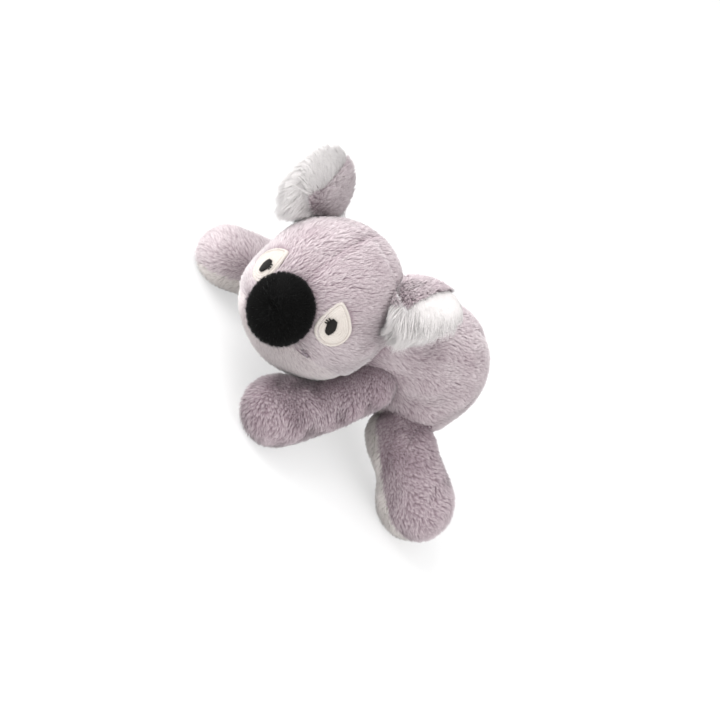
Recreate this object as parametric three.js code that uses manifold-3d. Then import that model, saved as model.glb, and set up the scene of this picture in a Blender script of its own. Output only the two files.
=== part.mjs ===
// A small koala soft toy that clings with a magnet in each of its four paws.
// Millimetres, +Z up. It stands on its four paws, with its face towards -Y and its own left at +X.

import * as THREE from 'three';
import { mergeVertices } from 'three/addons/utils/BufferGeometryUtils.js';
import Module from 'manifold-3d';

const wasm = await Module();
wasm.setup();

// Cloth, seams and fits
const clothThickness = 1.2;
const seamGap = 0.3;
const jointGap = 0.45;
const neckGap = 0.7;
const cheekGap = 1.6;
const pawFlatDepth = 0.8;
const patchThickness = 0.8;
const threadThickness = 0.6;

// Body, a bag that swells from the neck to the rump
const bodyHeight = 36.4;
const neckRadius = 15.5;
const chestRadius = 18;
const rumpRadius = 21.2;
const neckAhead = 7.4;
const chestBack = 10.6;
const rumpBack = 32.36;
const neckAside = 5;
const chestAside = 4;
const bellySeamDrop = 14.5;
const haunchSwell = 6.5;
const haunchSpread = 11;

// Head, a ball turned to its left and tipped, with full cheeks and flat temples
const headRadius = 25.2;
const headHalfHeight = 24.3;
const headAside = 6.1;
const headAhead = 20.4;
const headRise = 1.2;
const headTurn = 29.5;
const headTip = -16;
const headNod = 2;
const cheekSwell = 1.5;
const templeSwell = -2.4;
const crownSwell = 1.4;
const chinSwell = 2;
const browSeamAside = 0.8;
const crownSeamBack = 2;
const chinSeamDrop = 16;
const chinSeamTilt = 18;

// Nose, eyes and mouth
const noseHalfWidth = 10.2;
const noseHalfHeight = 11.2;
const noseDepth = 7.4;
const noseAhead = 3.3;
const eyePatchRadius = 6.1;
const eyePatchPoint = 9.2;
const eyePatchTilt = 15;
const pupilHalfWidth = 1.9;
const pupilHalfHeight = 2.7;
const pupilTilt = 35;
const mouthHalfLength = 1.7;
const mouthHalfWidth = 0.6;
const mouthTilt = 40;

// Ears, flat cups on a rolled root
const earRadius = 10.6;
const earHalfThickness = 3.3;
const earRootRadius = 2.4;
const earRootHalfLength = 4.2;
const leftEarStand = 10;
const rightEarStand = 62;
const earLean = 13;
const earTwist = 12;
const earPileAhead = 4;
const earPileDrop = 2.5;
const earPileDepth = 7.5;
const earPileRadius = 12.5;
const earPileGap = 1;
const earFlopBack = 45;
const earFlopAhead = 20;
const earFlopSteps = 3;

// Arms and legs
const armRootRadius = 9;
const elbowRadius = 9.2;
const leftPawRadius = 10.4;
const rightPawRadius = 9.6;
const shoulderAngle = 29.5;
const shoulderOut = 0.4;
const leftShoulderBack = 7.5;
const rightShoulderBack = 8.7;
const leftPawAside = 23.3;
const leftPawAhead = 23.6;
const rightPawAside = 40.3;
const rightPawAhead = 26.5;
const leftElbowOut = 1.2;
const rightElbowOut = 3.9;
const elbowSag = 3;
const legRootRadius = 10;
const kneeRadius = 10.3;
const footRadius = 12.2;
const hipAngle = 38;
const hipBack = 30.5;
const footAside = 42.1;
const footBack = 39.5;
const kneeAhead = 4;
const kneeRise = 2.5;
const kneeInward = 2;
const palmTurn = 27;
const armSeamDrop = 4.5;
const legSeamDrop = 1.5;
const armSwing = 30;
const legSwing = 25;
const swingSteps = 3;

// Magnets in their plastic capsules
const magnetRadius = 4;
const magnetThickness = 3;
const magnetPlay = 0.2;
const capsuleWall = 0.7;
const capsuleLift = 0.7;

// How finely the forms are divided
const headAround = 22;
const headAlong = 13;
const clearanceAround = 20;
const clearanceAlong = 12;
const bodyAround = 18;
const bodyAlong = 13;
const limbAround = 12;
const limbAlong = 11;
const noseAround = 14;
const noseAlong = 8;
const ballAround = 14;
const ballAlong = 10;
const earAround = 12;
const earAlong = 8;
const rollAround = 10;
const rollAlong = 3;
const capsuleAround = 16;
const curveSegments = 6;
const framesPerRing = 8;

// Directions on the head as shares of its radius: to its left, back and up
const cheekShares = [0.7, -0.47, -0.54];
const templeShares = [0.96, -0.23, 0.14];
const crownShares = [0.09, 0.45, 0.89];
const chinShares = [0, -0.44, -0.9];
const eyePatchShares = [0.598, -0.789, 0.146];
const pupilShares = [0.552, -0.818, 0.161];
const mouthShares = [0.494, -0.815, -0.328];
const earShares = [0.67, 0.2, 0.715];
const eyePatchShoulderShares = [0.707, 0.99];
const swellAngle = 28;

const plushColour = 0xb9a7b2;
const creamColour = 0xdad7d2;
const whiteColour = 0xedecec;
const patchColour = 0xe6e2dc;
const blackColour = 0x121212;
const fillColour = 0xf2f1ee;
const nickelColour = 0xb8bcc0;
const plasticColour = 0xd9dde0;

const radians = THREE.MathUtils.degToRad;

// Materials

function cloth(color) {
  return new THREE.MeshStandardMaterial({ color, roughness: 0.95, metalness: 0 });
}

function plastic(color) {
  return new THREE.MeshStandardMaterial({ color, roughness: 0.45, metalness: 0 });
}

function metal(color) {
  return new THREE.MeshStandardMaterial({ color, roughness: 0.25, metalness: 1 });
}

// Solids, and the cuts that are made in them

function toSolid(geometry) {
  const bare = geometry.clone();
  bare.deleteAttribute('normal');
  bare.deleteAttribute('uv');
  const merged = mergeVertices(bare);
  return new wasm.Manifold(new wasm.Mesh({
    numProp: 3,
    vertProperties: new Float32Array(merged.attributes.position.array),
    triVerts: new Uint32Array(merged.index.array),
  }));
}

function toGeometry(solid) {
  const { vertProperties, triVerts } = solid.getMesh();
  const geometry = new THREE.BufferGeometry();
  geometry.setAttribute('position', new THREE.BufferAttribute(vertProperties, 3));
  geometry.setIndex(new THREE.BufferAttribute(triVerts, 1));
  geometry.computeVertexNormals();
  return geometry;
}

function without(solid, ...cutters) {
  return cutters.reduce((rest, cutter) => rest.subtract(cutter), solid);
}

// A cut can leave thread-thin crumbs beside the piece, which a cutter would brush away
function withoutCrumbs(solid) {
  const parts = solid.decompose();
  return parts.reduce((best, part) => (part.volume() > best.volume() ? part : best));
}

function piece(name, solid, material) {
  const mesh = new THREE.Mesh(toGeometry(withoutCrumbs(solid)), material);
  mesh.name = name;
  return mesh;
}

// Everything on the side of a plane that its normal points to
const cutterSize = 3 * (neckAhead + rumpBack + rumpRadius + headAhead + headRadius);

function beyond(point, normal) {
  const box = new THREE.BoxGeometry(cutterSize, cutterSize, cutterSize);
  box.translate(0, 0, cutterSize / 2);
  const turn = new THREE.Quaternion().setFromUnitVectors(new THREE.Vector3(0, 0, 1), normal);
  box.applyQuaternion(turn);
  box.translate(point.x, point.y, point.z);
  return toSolid(box);
}

// The two sides of a seam plane, each cut back by half the seam's gap
function halves(solid, point, normal) {
  const shift = normal.clone().multiplyScalar(seamGap / 2);
  const far = beyond(point.clone().add(shift), normal);
  const near = beyond(point.clone().sub(shift), normal.clone().negate());
  return [solid.intersect(far), solid.intersect(near)];
}

// A sphere's mesh with each vertex put in place by its share of the way and its angle
function globe(around, along, place) {
  const geometry = new THREE.SphereGeometry(1, around, along);
  const position = geometry.attributes.position;
  for (let index = 0; index < position.count; index += 1) {
    const ring = Math.floor(index / (around + 1));
    const atPole = ring === 0 || ring === along;
    const column = atPole ? 0 : (index % (around + 1)) % around;
    const point = place(ring / along, (2 * Math.PI * column) / around);
    position.setXYZ(index, point.x, point.y, point.z);
  }
  return geometry;
}

// The direction at a share of the way from the back pole to the front one
function direction(share, angle) {
  const wide = Math.sin(Math.PI * share);
  return new THREE.Vector3(-Math.cos(angle) * wide, Math.cos(Math.PI * share), Math.sin(angle) * wide);
}

function ellipsoid(radii, around, along) {
  return globe(around, along, (share, angle) => direction(share, angle).multiply(radii));
}

function ball(centre, radius) {
  const geometry = ellipsoid(new THREE.Vector3(radius, radius, radius), ballAround, ballAlong);
  geometry.translate(centre.x, centre.y, centre.z);
  return toSolid(geometry);
}

// A round-ended bag along a spine, whose radius goes smoothly from knot to knot
function bag(knots, growth, around, along, bumps = []) {
  const curve = new THREE.CatmullRomCurve3(knots.map((knot) => knot.at));
  const radii = knots.map((knot) => knot.radius + growth);
  const length = curve.getLength();
  const startCap = (radii[0] * Math.PI) / 2;
  const endCap = (radii[radii.length - 1] * Math.PI) / 2;
  const whole = startCap + length + endCap;
  const frameCount = along * framesPerRing;
  const frames = curve.computeFrenetFrames(frameCount, false);
  return toSolid(globe(around, along, (way, angle) => {
    const travel = way * whole;
    const share = THREE.MathUtils.clamp((travel - startCap) / length, 0, 1);
    const before = Math.max(0, startCap - travel) / radii[0];
    const after = Math.max(0, travel - startCap - length) / radii[radii.length - 1];
    const lean = after - before;
    const knotWay = curve.getUtoTmapping(share) * (radii.length - 1);
    const knot = Math.min(Math.floor(knotWay), radii.length - 2);
    const ease = THREE.MathUtils.smoothstep(knotWay - knot, 0, 1);
    const radius = THREE.MathUtils.lerp(radii[knot], radii[knot + 1], ease);
    const frame = Math.round(share * frameCount);
    const outward = frames.normals[frame].clone().multiplyScalar(-Math.cos(angle) * Math.cos(lean));
    outward.addScaledVector(frames.binormals[frame], Math.sin(angle) * Math.cos(lean));
    outward.addScaledVector(frames.tangents[frame], Math.sin(lean));
    const point = curve.getPointAt(share).addScaledVector(outward, radius);
    const swell = bumps.reduce((sum, bump) => {
      const offset = point.distanceTo(bump.at) / bump.spread;
      return sum + bump.height * Math.exp(-offset * offset);
    }, 0);
    return point.addScaledVector(outward, swell);
  }));
}

function lathe(profile) {
  const points = profile.map(([radius, height]) => new THREE.Vector2(radius, height));
  const geometry = new THREE.LatheGeometry(points, capsuleAround);
  geometry.rotateX(Math.PI / 2);
  return geometry;
}

// Head, in its own frame with the ball's centre at the origin

const headPlace = new THREE.Vector3(-headAside, -headAhead, bodyHeight + headRise);
const headEuler = new THREE.Euler(radians(headNod), radians(headTip), radians(headTurn), 'ZYX');
const headFrame = new THREE.Matrix4().makeRotationFromEuler(headEuler).setPosition(headPlace);

function mirrored(shares, side) {
  return new THREE.Vector3(shares[0] * side, shares[1], shares[2]).normalize();
}

const swells = [
  { towards: mirrored(cheekShares, 1), height: cheekSwell },
  { towards: mirrored(cheekShares, -1), height: cheekSwell },
  { towards: mirrored(templeShares, 1), height: templeSwell },
  { towards: mirrored(templeShares, -1), height: templeSwell },
  { towards: mirrored(crownShares, 1), height: crownSwell },
  { towards: mirrored(chinShares, 1), height: chinSwell },
];

function headRadii(growth) {
  return new THREE.Vector3(headRadius, headRadius, headHalfHeight).addScalar(growth);
}

function headPoint(towards, growth) {
  const point = towards.clone().multiply(headRadii(growth));
  for (const swell of swells) {
    const offset = towards.angleTo(swell.towards) / radians(swellAngle);
    point.addScaledVector(towards, swell.height * Math.exp(-offset * offset));
  }
  return point;
}

function headForm(growth) {
  const place = (share, angle) => headPoint(direction(share, angle), growth);
  return toSolid(globe(headAround, headAlong, place));
}

// The plain ball that the head turns as, which its neighbours keep clear of
function headClearance(growth) {
  const plain = ellipsoid(headRadii(growth), clearanceAround, clearanceAlong);
  return toSolid(plain.applyMatrix4(headFrame));
}

function headCovers() {
  const shell = without(headForm(0), headForm(-clothThickness));
  const chinDown = new THREE.Vector3(0, -Math.sin(radians(chinSeamTilt)), -Math.cos(radians(chinSeamTilt)));
  const [chin, aboveChin] = halves(shell, new THREE.Vector3(0, 0, -chinSeamDrop), chinDown);
  const crownSeam = new THREE.Vector3(0, crownSeamBack, 0);
  const [back, front] = halves(aboveChin, crownSeam, new THREE.Vector3(0, 1, 0));
  const browSeam = new THREE.Vector3(-browSeamAside, 0, 0);
  const [left, right] = halves(front, browSeam, new THREE.Vector3(1, 0, 0));
  return [
    piece('head_left_panel', left, cloth(plushColour)),
    piece('head_right_panel', right, cloth(plushColour)),
    piece('head_back_panel', back, cloth(plushColour)),
    piece('chin_panel', chin, cloth(plushColour)),
    piece('head_stuffing', headForm(-clothThickness - seamGap), cloth(fillColour)),
  ];
}

function noseForm(growth) {
  const radii = new THREE.Vector3(noseHalfWidth, noseDepth, noseHalfHeight).addScalar(growth);
  const geometry = ellipsoid(radii, noseAround, noseAlong);
  geometry.translate(0, -headRadius - noseAhead, 0);
  return toSolid(geometry);
}

function nose() {
  const face = headForm(seamGap);
  return [
    piece('nose_cover', without(noseForm(0), noseForm(-clothThickness), face), cloth(blackColour)),
    piece('nose_stuffing', without(noseForm(-clothThickness - seamGap), face), cloth(fillColour)),
  ];
}

// An outline on the head, raised along the direction in which the head faces there
function raised(shape, towards, turn) {
  const outward = { depth: headRadius, curveSegments, bevelEnabled: false };
  const geometry = new THREE.ExtrudeGeometry(shape, outward);
  geometry.rotateZ(turn);
  geometry.translate(0, 0, headRadius / 2);
  const up = new THREE.Vector3(0, 0, 1);
  const across = new THREE.Vector3().crossVectors(up, towards).normalize();
  const along = new THREE.Vector3().crossVectors(towards, across);
  return toSolid(geometry.applyMatrix4(new THREE.Matrix4().makeBasis(across, along, towards)));
}

function layer(inner, thickness) {
  return without(headForm(inner + thickness), headForm(inner));
}

function eyePatchShape() {
  const shape = new THREE.Shape();
  const aside = eyePatchRadius * eyePatchShoulderShares[0];
  const up = eyePatchRadius * eyePatchShoulderShares[1];
  shape.moveTo(0, eyePatchPoint);
  shape.quadraticCurveTo(aside, up, eyePatchRadius, 0);
  shape.absarc(0, 0, eyePatchRadius, 0, -Math.PI, true);
  shape.quadraticCurveTo(-aside, up, 0, eyePatchPoint);
  return shape;
}

function ovalShape(halfWidth, halfHeight) {
  const shape = new THREE.Shape();
  shape.absellipse(0, 0, halfWidth, halfHeight, 0, 2 * Math.PI, false, 0);
  return shape;
}

const faceTrim = [
  {
    name: 'eye_patch',
    shape: eyePatchShape(),
    shares: eyePatchShares,
    tilt: eyePatchTilt,
    sheet: layer(seamGap, patchThickness),
    color: patchColour,
  },
  {
    name: 'pupil',
    shape: ovalShape(pupilHalfWidth, pupilHalfHeight),
    shares: pupilShares,
    tilt: pupilTilt,
    sheet: layer(2 * seamGap + patchThickness, threadThickness),
    color: blackColour,
  },
  {
    name: 'mouth_stitch',
    shape: ovalShape(mouthHalfWidth, mouthHalfLength),
    shares: mouthShares,
    tilt: mouthTilt,
    sheet: layer(seamGap, threadThickness),
    color: blackColour,
  },
];

function eyesAndMouth(sideName, side) {
  const besideNose = noseForm(seamGap);
  return faceTrim.map(({ name, shape, shares, tilt, sheet, color }) => {
    const outline = raised(shape, mirrored(shares, side), radians(tilt) * side);
    return piece(`${sideName}_${name}`, without(outline.intersect(sheet), besideNose), cloth(color));
  });
}

// Ears, each on a roll at its root that lies against the head

// The head as an ear sees it, from one end of the ear's flop to the other
function headSeenFrom(group) {
  group.updateMatrix();
  const geometry = toGeometry(headForm(earPileGap)).applyMatrix4(group.matrix.clone().invert());
  const views = [];
  for (let step = 0; step <= earFlopSteps; step += 1) {
    const flop = -earFlopBack + ((earFlopBack + earFlopAhead) * step) / earFlopSteps;
    views.push(toSolid(geometry.clone().rotateY(-radians(flop))));
  }
  return views;
}

// The soft mass that the long pile makes before an ear, short of the head
function earPile(side, group) {
  const radii = new THREE.Vector3(earPileDepth, earPileRadius, earPileRadius);
  const middle = earRadius - earRootRadius / 2 - earPileDrop;
  const mass = ellipsoid(radii, earAround, earAlong).translate(side * earPileAhead, 0, middle);
  return without(toSolid(mass), ...headSeenFrom(group));
}

function ear(sideName, side, stand) {
  const towards = mirrored(earShares, side);
  const group = new THREE.Group();
  const clear = jointGap + earRootRadius;
  group.position.copy(headPoint(towards, 0)).addScaledVector(towards, clear);
  const droop = (Math.PI / 2 - radians(stand)) * side;
  group.rotation.set(-radians(earLean), droop, radians(earTwist) * side, 'YXZ');
  const flapRadii = new THREE.Vector3(earHalfThickness, earRadius, earRadius);
  const flap = ellipsoid(flapRadii, earAround, earAlong).translate(0, 0, earRadius - earRootRadius / 2);
  const straight = 2 * (earRootHalfLength - earRootRadius);
  const root = new THREE.CapsuleGeometry(earRootRadius, straight, rollAlong, rollAround);
  const form = toSolid(flap).add(toSolid(root));
  const middle = new THREE.Vector3();
  const ahead = new THREE.Vector3(side, 0, 0);
  const [front] = halves(form.add(earPile(side, group)), middle, ahead);
  const [, back] = halves(form, middle, ahead);
  group.add(piece(`${sideName}_ear_front`, front, cloth(whiteColour)));
  group.add(piece(`${sideName}_ear_back`, back, cloth(plushColour)));
  return group;
}

// Body, arms and legs

function at(side, back, up) {
  return new THREE.Vector3(side, back, up);
}

const bodyKnots = [
  { at: at(-neckAside, -neckAhead, bodyHeight), radius: neckRadius },
  { at: at(-chestAside, chestBack, bodyHeight), radius: chestRadius },
  { at: at(0, rumpBack, bodyHeight), radius: rumpRadius },
];

// A place beside the body's axis, at a given reach and turned down from the level
function besideBody(axisAside, reach, drop, side, back) {
  const aside = axisAside + side * reach * Math.cos(radians(drop));
  return at(aside, back, bodyHeight - reach * Math.sin(radians(drop)));
}

const haunches = [1, -1].map((side) => ({
  at: besideBody(0, rumpRadius, hipAngle, side, hipBack),
  height: haunchSwell,
  spread: haunchSpread,
}));

function bodyForm(growth) {
  return bag(bodyKnots, growth, bodyAround, bodyAlong, haunches);
}

function limbKnots(root, rootRadius, bow, middleRadius, end, endRadius) {
  const middle = root.clone().lerp(end, 1 / 2).add(bow);
  return [
    { at: root, radius: rootRadius },
    { at: middle, radius: middleRadius },
    { at: end, radius: endRadius },
  ];
}

const limbs = [
  {
    name: 'left_arm',
    side: 1,
    swingAxis: new THREE.Vector3(0, 0, 1),
    swing: armSwing,
    seamDrop: armSeamDrop,
    knots: limbKnots(
      besideBody(-chestAside, chestRadius + shoulderOut, shoulderAngle, 1, leftShoulderBack),
      armRootRadius,
      at(leftElbowOut, 0, -elbowSag),
      elbowRadius,
      at(leftPawAside, -leftPawAhead, leftPawRadius - pawFlatDepth),
      leftPawRadius,
    ),
  },
  {
    name: 'right_arm',
    side: -1,
    swingAxis: new THREE.Vector3(0, 0, -1),
    swing: armSwing,
    seamDrop: armSeamDrop,
    knots: limbKnots(
      besideBody(-chestAside, chestRadius + shoulderOut, shoulderAngle, -1, rightShoulderBack),
      armRootRadius,
      at(-rightElbowOut, 0, -elbowSag),
      elbowRadius,
      at(-rightPawAside, -rightPawAhead, rightPawRadius - pawFlatDepth),
      rightPawRadius,
    ),
  },
];
for (const [name, side] of [['left_leg', 1], ['right_leg', -1]]) {
  limbs.push({
    name,
    side,
    swingAxis: new THREE.Vector3(0, -side, 0),
    swing: legSwing,
    seamDrop: legSeamDrop,
    knots: limbKnots(
      besideBody(0, rumpRadius + haunchSwell, hipAngle, side, hipBack),
      legRootRadius,
      at(-kneeInward * side, -kneeAhead, kneeRise),
      kneeRadius,
      at(footAside * side, footBack, footRadius - pawFlatDepth),
      footRadius,
    ),
  });
}

function sockets() {
  return limbs.map(({ knots }) => ball(knots[0].at, knots[0].radius + jointGap));
}

function body() {
  const cutters = [headClearance(neckGap), ...sockets()];
  const shell = without(bodyForm(0), bodyForm(-clothThickness), ...cutters);
  const bellySeam = at(0, 0, bodyHeight - bellySeamDrop);
  const [belly, above] = halves(shell, bellySeam, new THREE.Vector3(0, 0, -1));
  const backLine = bodyKnots[2].at.clone().sub(bodyKnots[0].at);
  const leftward = new THREE.Vector3().crossVectors(backLine, new THREE.Vector3(0, 0, 1)).normalize();
  const [left, right] = halves(above, bodyKnots[2].at, leftward);
  return [
    piece('body_left_panel', left, cloth(plushColour)),
    piece('body_right_panel', right, cloth(plushColour)),
    piece('belly_panel', belly, cloth(creamColour)),
    piece('body_stuffing', without(bodyForm(-clothThickness - seamGap), ...cutters), cloth(fillColour)),
  ];
}

// The magnet's capsule lies flat in the paw, as low as its round form lets it

const capsuleRadius = magnetRadius + magnetPlay + capsuleWall;
const cupHeight = capsuleWall + magnetThickness + 2 * magnetPlay;
const capsuleHeight = cupHeight + magnetPlay + capsuleWall;

function capsuleBase(end) {
  const room = end.radius - clothThickness - seamGap;
  return end.at.z - Math.sqrt(room * room - capsuleRadius * capsuleRadius) + capsuleLift;
}

function pocket(end, base) {
  const wall = capsuleRadius + seamGap;
  const profile = [[0, 0], [wall, 0], [wall, end.at.z], [0, end.at.z]];
  const top = base + capsuleHeight + seamGap;
  return toSolid(lathe(profile).translate(end.at.x, end.at.y, top - end.at.z));
}

function magnetPieces(name, end) {
  const base = capsuleBase(end);
  const bore = capsuleRadius - capsuleWall;
  const cup = [
    [0, 0],
    [capsuleRadius, 0],
    [capsuleRadius, cupHeight],
    [bore, cupHeight],
    [bore, capsuleWall],
    [0, capsuleWall],
  ];
  const lid = [[0, 0], [capsuleRadius, 0], [capsuleRadius, capsuleWall], [0, capsuleWall]];
  const disc = [[0, 0], [magnetRadius, 0], [magnetRadius, magnetThickness], [0, magnetThickness]];
  const stack = [
    [`${name}_capsule_cup`, cup, base, plastic(plasticColour)],
    [`${name}_magnet`, disc, base + capsuleWall + magnetPlay, metal(nickelColour)],
    [`${name}_capsule_lid`, lid, base + cupHeight + magnetPlay, plastic(plasticColour)],
  ];
  return stack.map(([pieceName, profile, height, material]) => {
    const geometry = lathe(profile).translate(end.at.x, end.at.y, height);
    return piece(pieceName, toSolid(geometry), material);
  });
}

// What a limb keeps clear of while it swings, as the limb itself sees it
function swingClearance({ knots, swingAxis, swing }) {
  const [root] = knots;
  const keptRoot = ball(root.at, root.radius + jointGap / 3);
  const around = bodyForm(jointGap).subtract(keptRoot).add(headClearance(cheekGap));
  const views = [around];
  for (let step = 1; step <= swingSteps; step += 1) {
    const angle = (-radians(swing) * step) / swingSteps;
    const geometry = toGeometry(around).translate(-root.at.x, -root.at.y, -root.at.z);
    geometry.applyQuaternion(new THREE.Quaternion().setFromAxisAngle(swingAxis, angle));
    views.push(toSolid(geometry.translate(root.at.x, root.at.y, root.at.z)));
  }
  return views;
}

function limb(entry) {
  const { name, side, knots, seamDrop } = entry;
  const [root, , end] = knots;
  const floor = beyond(at(0, 0, 0), new THREE.Vector3(0, 0, -1));
  const cutters = swingClearance(entry);
  const outline = without(bag(knots, 0, limbAround, limbAlong), ...cutters, floor);
  const shell = without(outline, bag(knots, -clothThickness, limbAround, limbAlong));
  const fill = bag(knots, -clothThickness - seamGap, limbAround, limbAlong);
  const line = end.at.clone().sub(root.at).normalize();
  const palm = new THREE.Vector3(-side * Math.sin(radians(palmTurn)), 0, -Math.cos(radians(palmTurn)));
  palm.addScaledVector(line, -palm.dot(line)).normalize();
  const [inner, outer] = halves(shell, root.at.clone().addScaledVector(palm, seamDrop), palm);
  return [
    piece(`${name}_outer_panel`, outer, cloth(plushColour)),
    piece(`${name}_inner_panel`, inner, cloth(creamColour)),
    piece(`${name}_stuffing`, without(fill, ...cutters, pocket(end, capsuleBase(end))), cloth(fillColour)),
    ...magnetPieces(name, end),
  ];
}

const head = new THREE.Group();
head.position.copy(headPlace);
head.rotation.copy(headEuler);
head.add(...headCovers(), ...nose(), ...eyesAndMouth('left', 1), ...eyesAndMouth('right', -1));
head.add(ear('left', 1, leftEarStand), ear('right', -1, rightEarStand));

const toy = new THREE.Group();
toy.add(...body(), head);
for (const entry of limbs) {
  toy.add(...limb(entry));
}

export default toy;
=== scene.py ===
"""A small koala soft toy with a magnet in each paw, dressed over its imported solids.

Lengths are written in millimetres and turned to metres as each mesh is made. +Z is up, the toy
stands on its four paws and faces -Y, and its own left is +X.
"""

import logging
import math
from dataclasses import dataclass, field, replace
from enum import Enum
from typing import Callable

import bmesh
import bpy
import numpy as np
from mathutils import Euler, Matrix, Vector
from mathutils.bvhtree import BVHTree
from mathutils.kdtree import KDTree


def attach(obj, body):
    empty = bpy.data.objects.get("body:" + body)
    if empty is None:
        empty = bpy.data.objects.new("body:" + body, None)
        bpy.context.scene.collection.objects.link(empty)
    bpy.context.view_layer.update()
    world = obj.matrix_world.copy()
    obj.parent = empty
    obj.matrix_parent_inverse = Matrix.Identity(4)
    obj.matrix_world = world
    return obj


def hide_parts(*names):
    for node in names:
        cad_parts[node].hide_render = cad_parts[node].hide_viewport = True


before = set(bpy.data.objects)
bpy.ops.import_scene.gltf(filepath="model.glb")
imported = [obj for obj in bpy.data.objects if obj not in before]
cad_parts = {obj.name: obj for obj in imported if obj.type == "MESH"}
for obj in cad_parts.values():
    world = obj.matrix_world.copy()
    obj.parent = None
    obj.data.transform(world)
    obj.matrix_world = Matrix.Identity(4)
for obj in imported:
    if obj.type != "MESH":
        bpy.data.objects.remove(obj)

METRES = 0.001
UV_NAME = "OFBake"
LOG = logging.getLogger("toy")
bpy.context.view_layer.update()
WELD = 0.0005
HALVINGS = 4

Triple = tuple[float, float, float]
OfPlaces = Callable[[np.ndarray], np.ndarray]


def linear(code: str) -> tuple[float, float, float, float]:
    """Turns an sRGB hex colour to linear.

    Args:
        code: A colour such as "#B9A7B2".

    Returns:
        Red, green, blue and alpha, each from 0 to 1.
    """
    values = [int(code[index:index + 2], 16) / 255 for index in (1, 3, 5)]
    return tuple(v / 12.92 if v <= 0.04045 else ((v + 0.055) / 1.055) ** 2.4 for v in values) + (1.0,)


def add(
    tree: bpy.types.NodeTree, kind: str, inputs: dict | None = None, stops: tuple = (), **settings: object
) -> bpy.types.Node:
    """Adds a node with its settings and the links into it.

    Args:
        tree: The node tree that takes it.
        kind: The node's type name.
        inputs: For each input, by name or number, a value or the socket that feeds it.
        stops: The places and linear colours of a colour ramp.
        settings: The node's own properties.

    Returns:
        The new node.
    """
    node = tree.nodes.new(kind)
    for name, value in settings.items():
        setattr(node, name, value)
    for key, value in (inputs or {}).items():
        if isinstance(value, bpy.types.NodeSocket):
            tree.links.new(value, node.inputs[key])
        else:
            node.inputs[key].default_value = value
    for index, (place, colour) in enumerate(stops):
        if index >= len(node.color_ramp.elements):
            node.color_ramp.elements.new(place)
        node.color_ramp.elements[index].position = place
        node.color_ramp.elements[index].color = colour
    return node


def unit(vectors: np.ndarray) -> np.ndarray:
    """Scales each vector to a length of one."""
    return vectors / np.maximum(np.linalg.norm(vectors, axis=-1, keepdims=True), 1e-9)


def smoothstep(values: np.ndarray) -> np.ndarray:
    """Eases values from 0 to 1 smoothly, held at both ends."""
    held = np.clip(values, 0, 1)
    return held * held * (3 - 2 * held)


class Ripple:
    """A smooth random field that is the same on each run."""

    PACES = (0.6, 1.5)

    def __init__(self, seed: int, size: float, waves: int = 9) -> None:
        """Draws the field's waves.

        Args:
            seed: The seed of its random draws.
            size: Rough distance between its humps in millimetres.
            waves: How many waves it sums.
        """
        rng = np.random.default_rng(seed)
        pushes = unit(rng.normal(size=(waves, 3))) * (2 * np.pi / size)
        self.pushes = pushes * rng.uniform(*self.PACES, (waves, 1))
        self.starts = rng.uniform(0, 2 * np.pi, waves)

    def at(self, points: np.ndarray) -> np.ndarray:
        """Gives the field at each point, mostly from -1 to 1."""
        return np.sin(points @ self.pushes.T + self.starts).sum(axis=1) / math.sqrt(len(self.starts))


def make_piece(
    name: str, shape: bmesh.types.BMesh, material: bpy.types.Material, smooth: bool = True
) -> bpy.types.Object:
    """Makes an object of a bmesh that is measured in millimetres.

    Args:
        name: The piece's name.
        shape: Its mesh, which is freed.
        material: Its finish.
        smooth: Whether its faces are shaded smooth.

    Returns:
        The object, at the origin, with its place in its mesh.
    """
    bmesh.ops.scale(shape, vec=(METRES,) * 3, verts=shape.verts)
    mesh = bpy.data.meshes.new(name)
    shape.to_mesh(mesh)
    shape.free()
    mesh.polygons.foreach_set("use_smooth", [smooth] * len(mesh.polygons))
    mesh.materials.append(material)
    piece = bpy.data.objects.new(name, mesh)
    bpy.context.scene.collection.objects.link(piece)
    return piece


def node_shape(node: str, longest: float) -> bmesh.types.BMesh:
    """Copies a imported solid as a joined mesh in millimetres, with its long edges divided.

    Args:
        node: The solid's name.
        longest: The longest edge that is left.

    Returns:
        The copy.
    """
    shape = bmesh.new()
    shape.from_mesh(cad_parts[node].data)
    bmesh.ops.scale(shape, vec=(1 / METRES,) * 3, verts=shape.verts)
    bmesh.ops.remove_doubles(shape, verts=shape.verts, dist=WELD)
    for _ in range(HALVINGS):
        long_edges = [edge for edge in shape.edges if edge.calc_length() > longest]
        if not long_edges:
            break
        bmesh.ops.subdivide_edges(shape, edges=long_edges, cuts=1, use_grid_fill=True)
        bmesh.ops.triangulate(shape, faces=shape.faces)
    return shape


# Finishes


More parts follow.
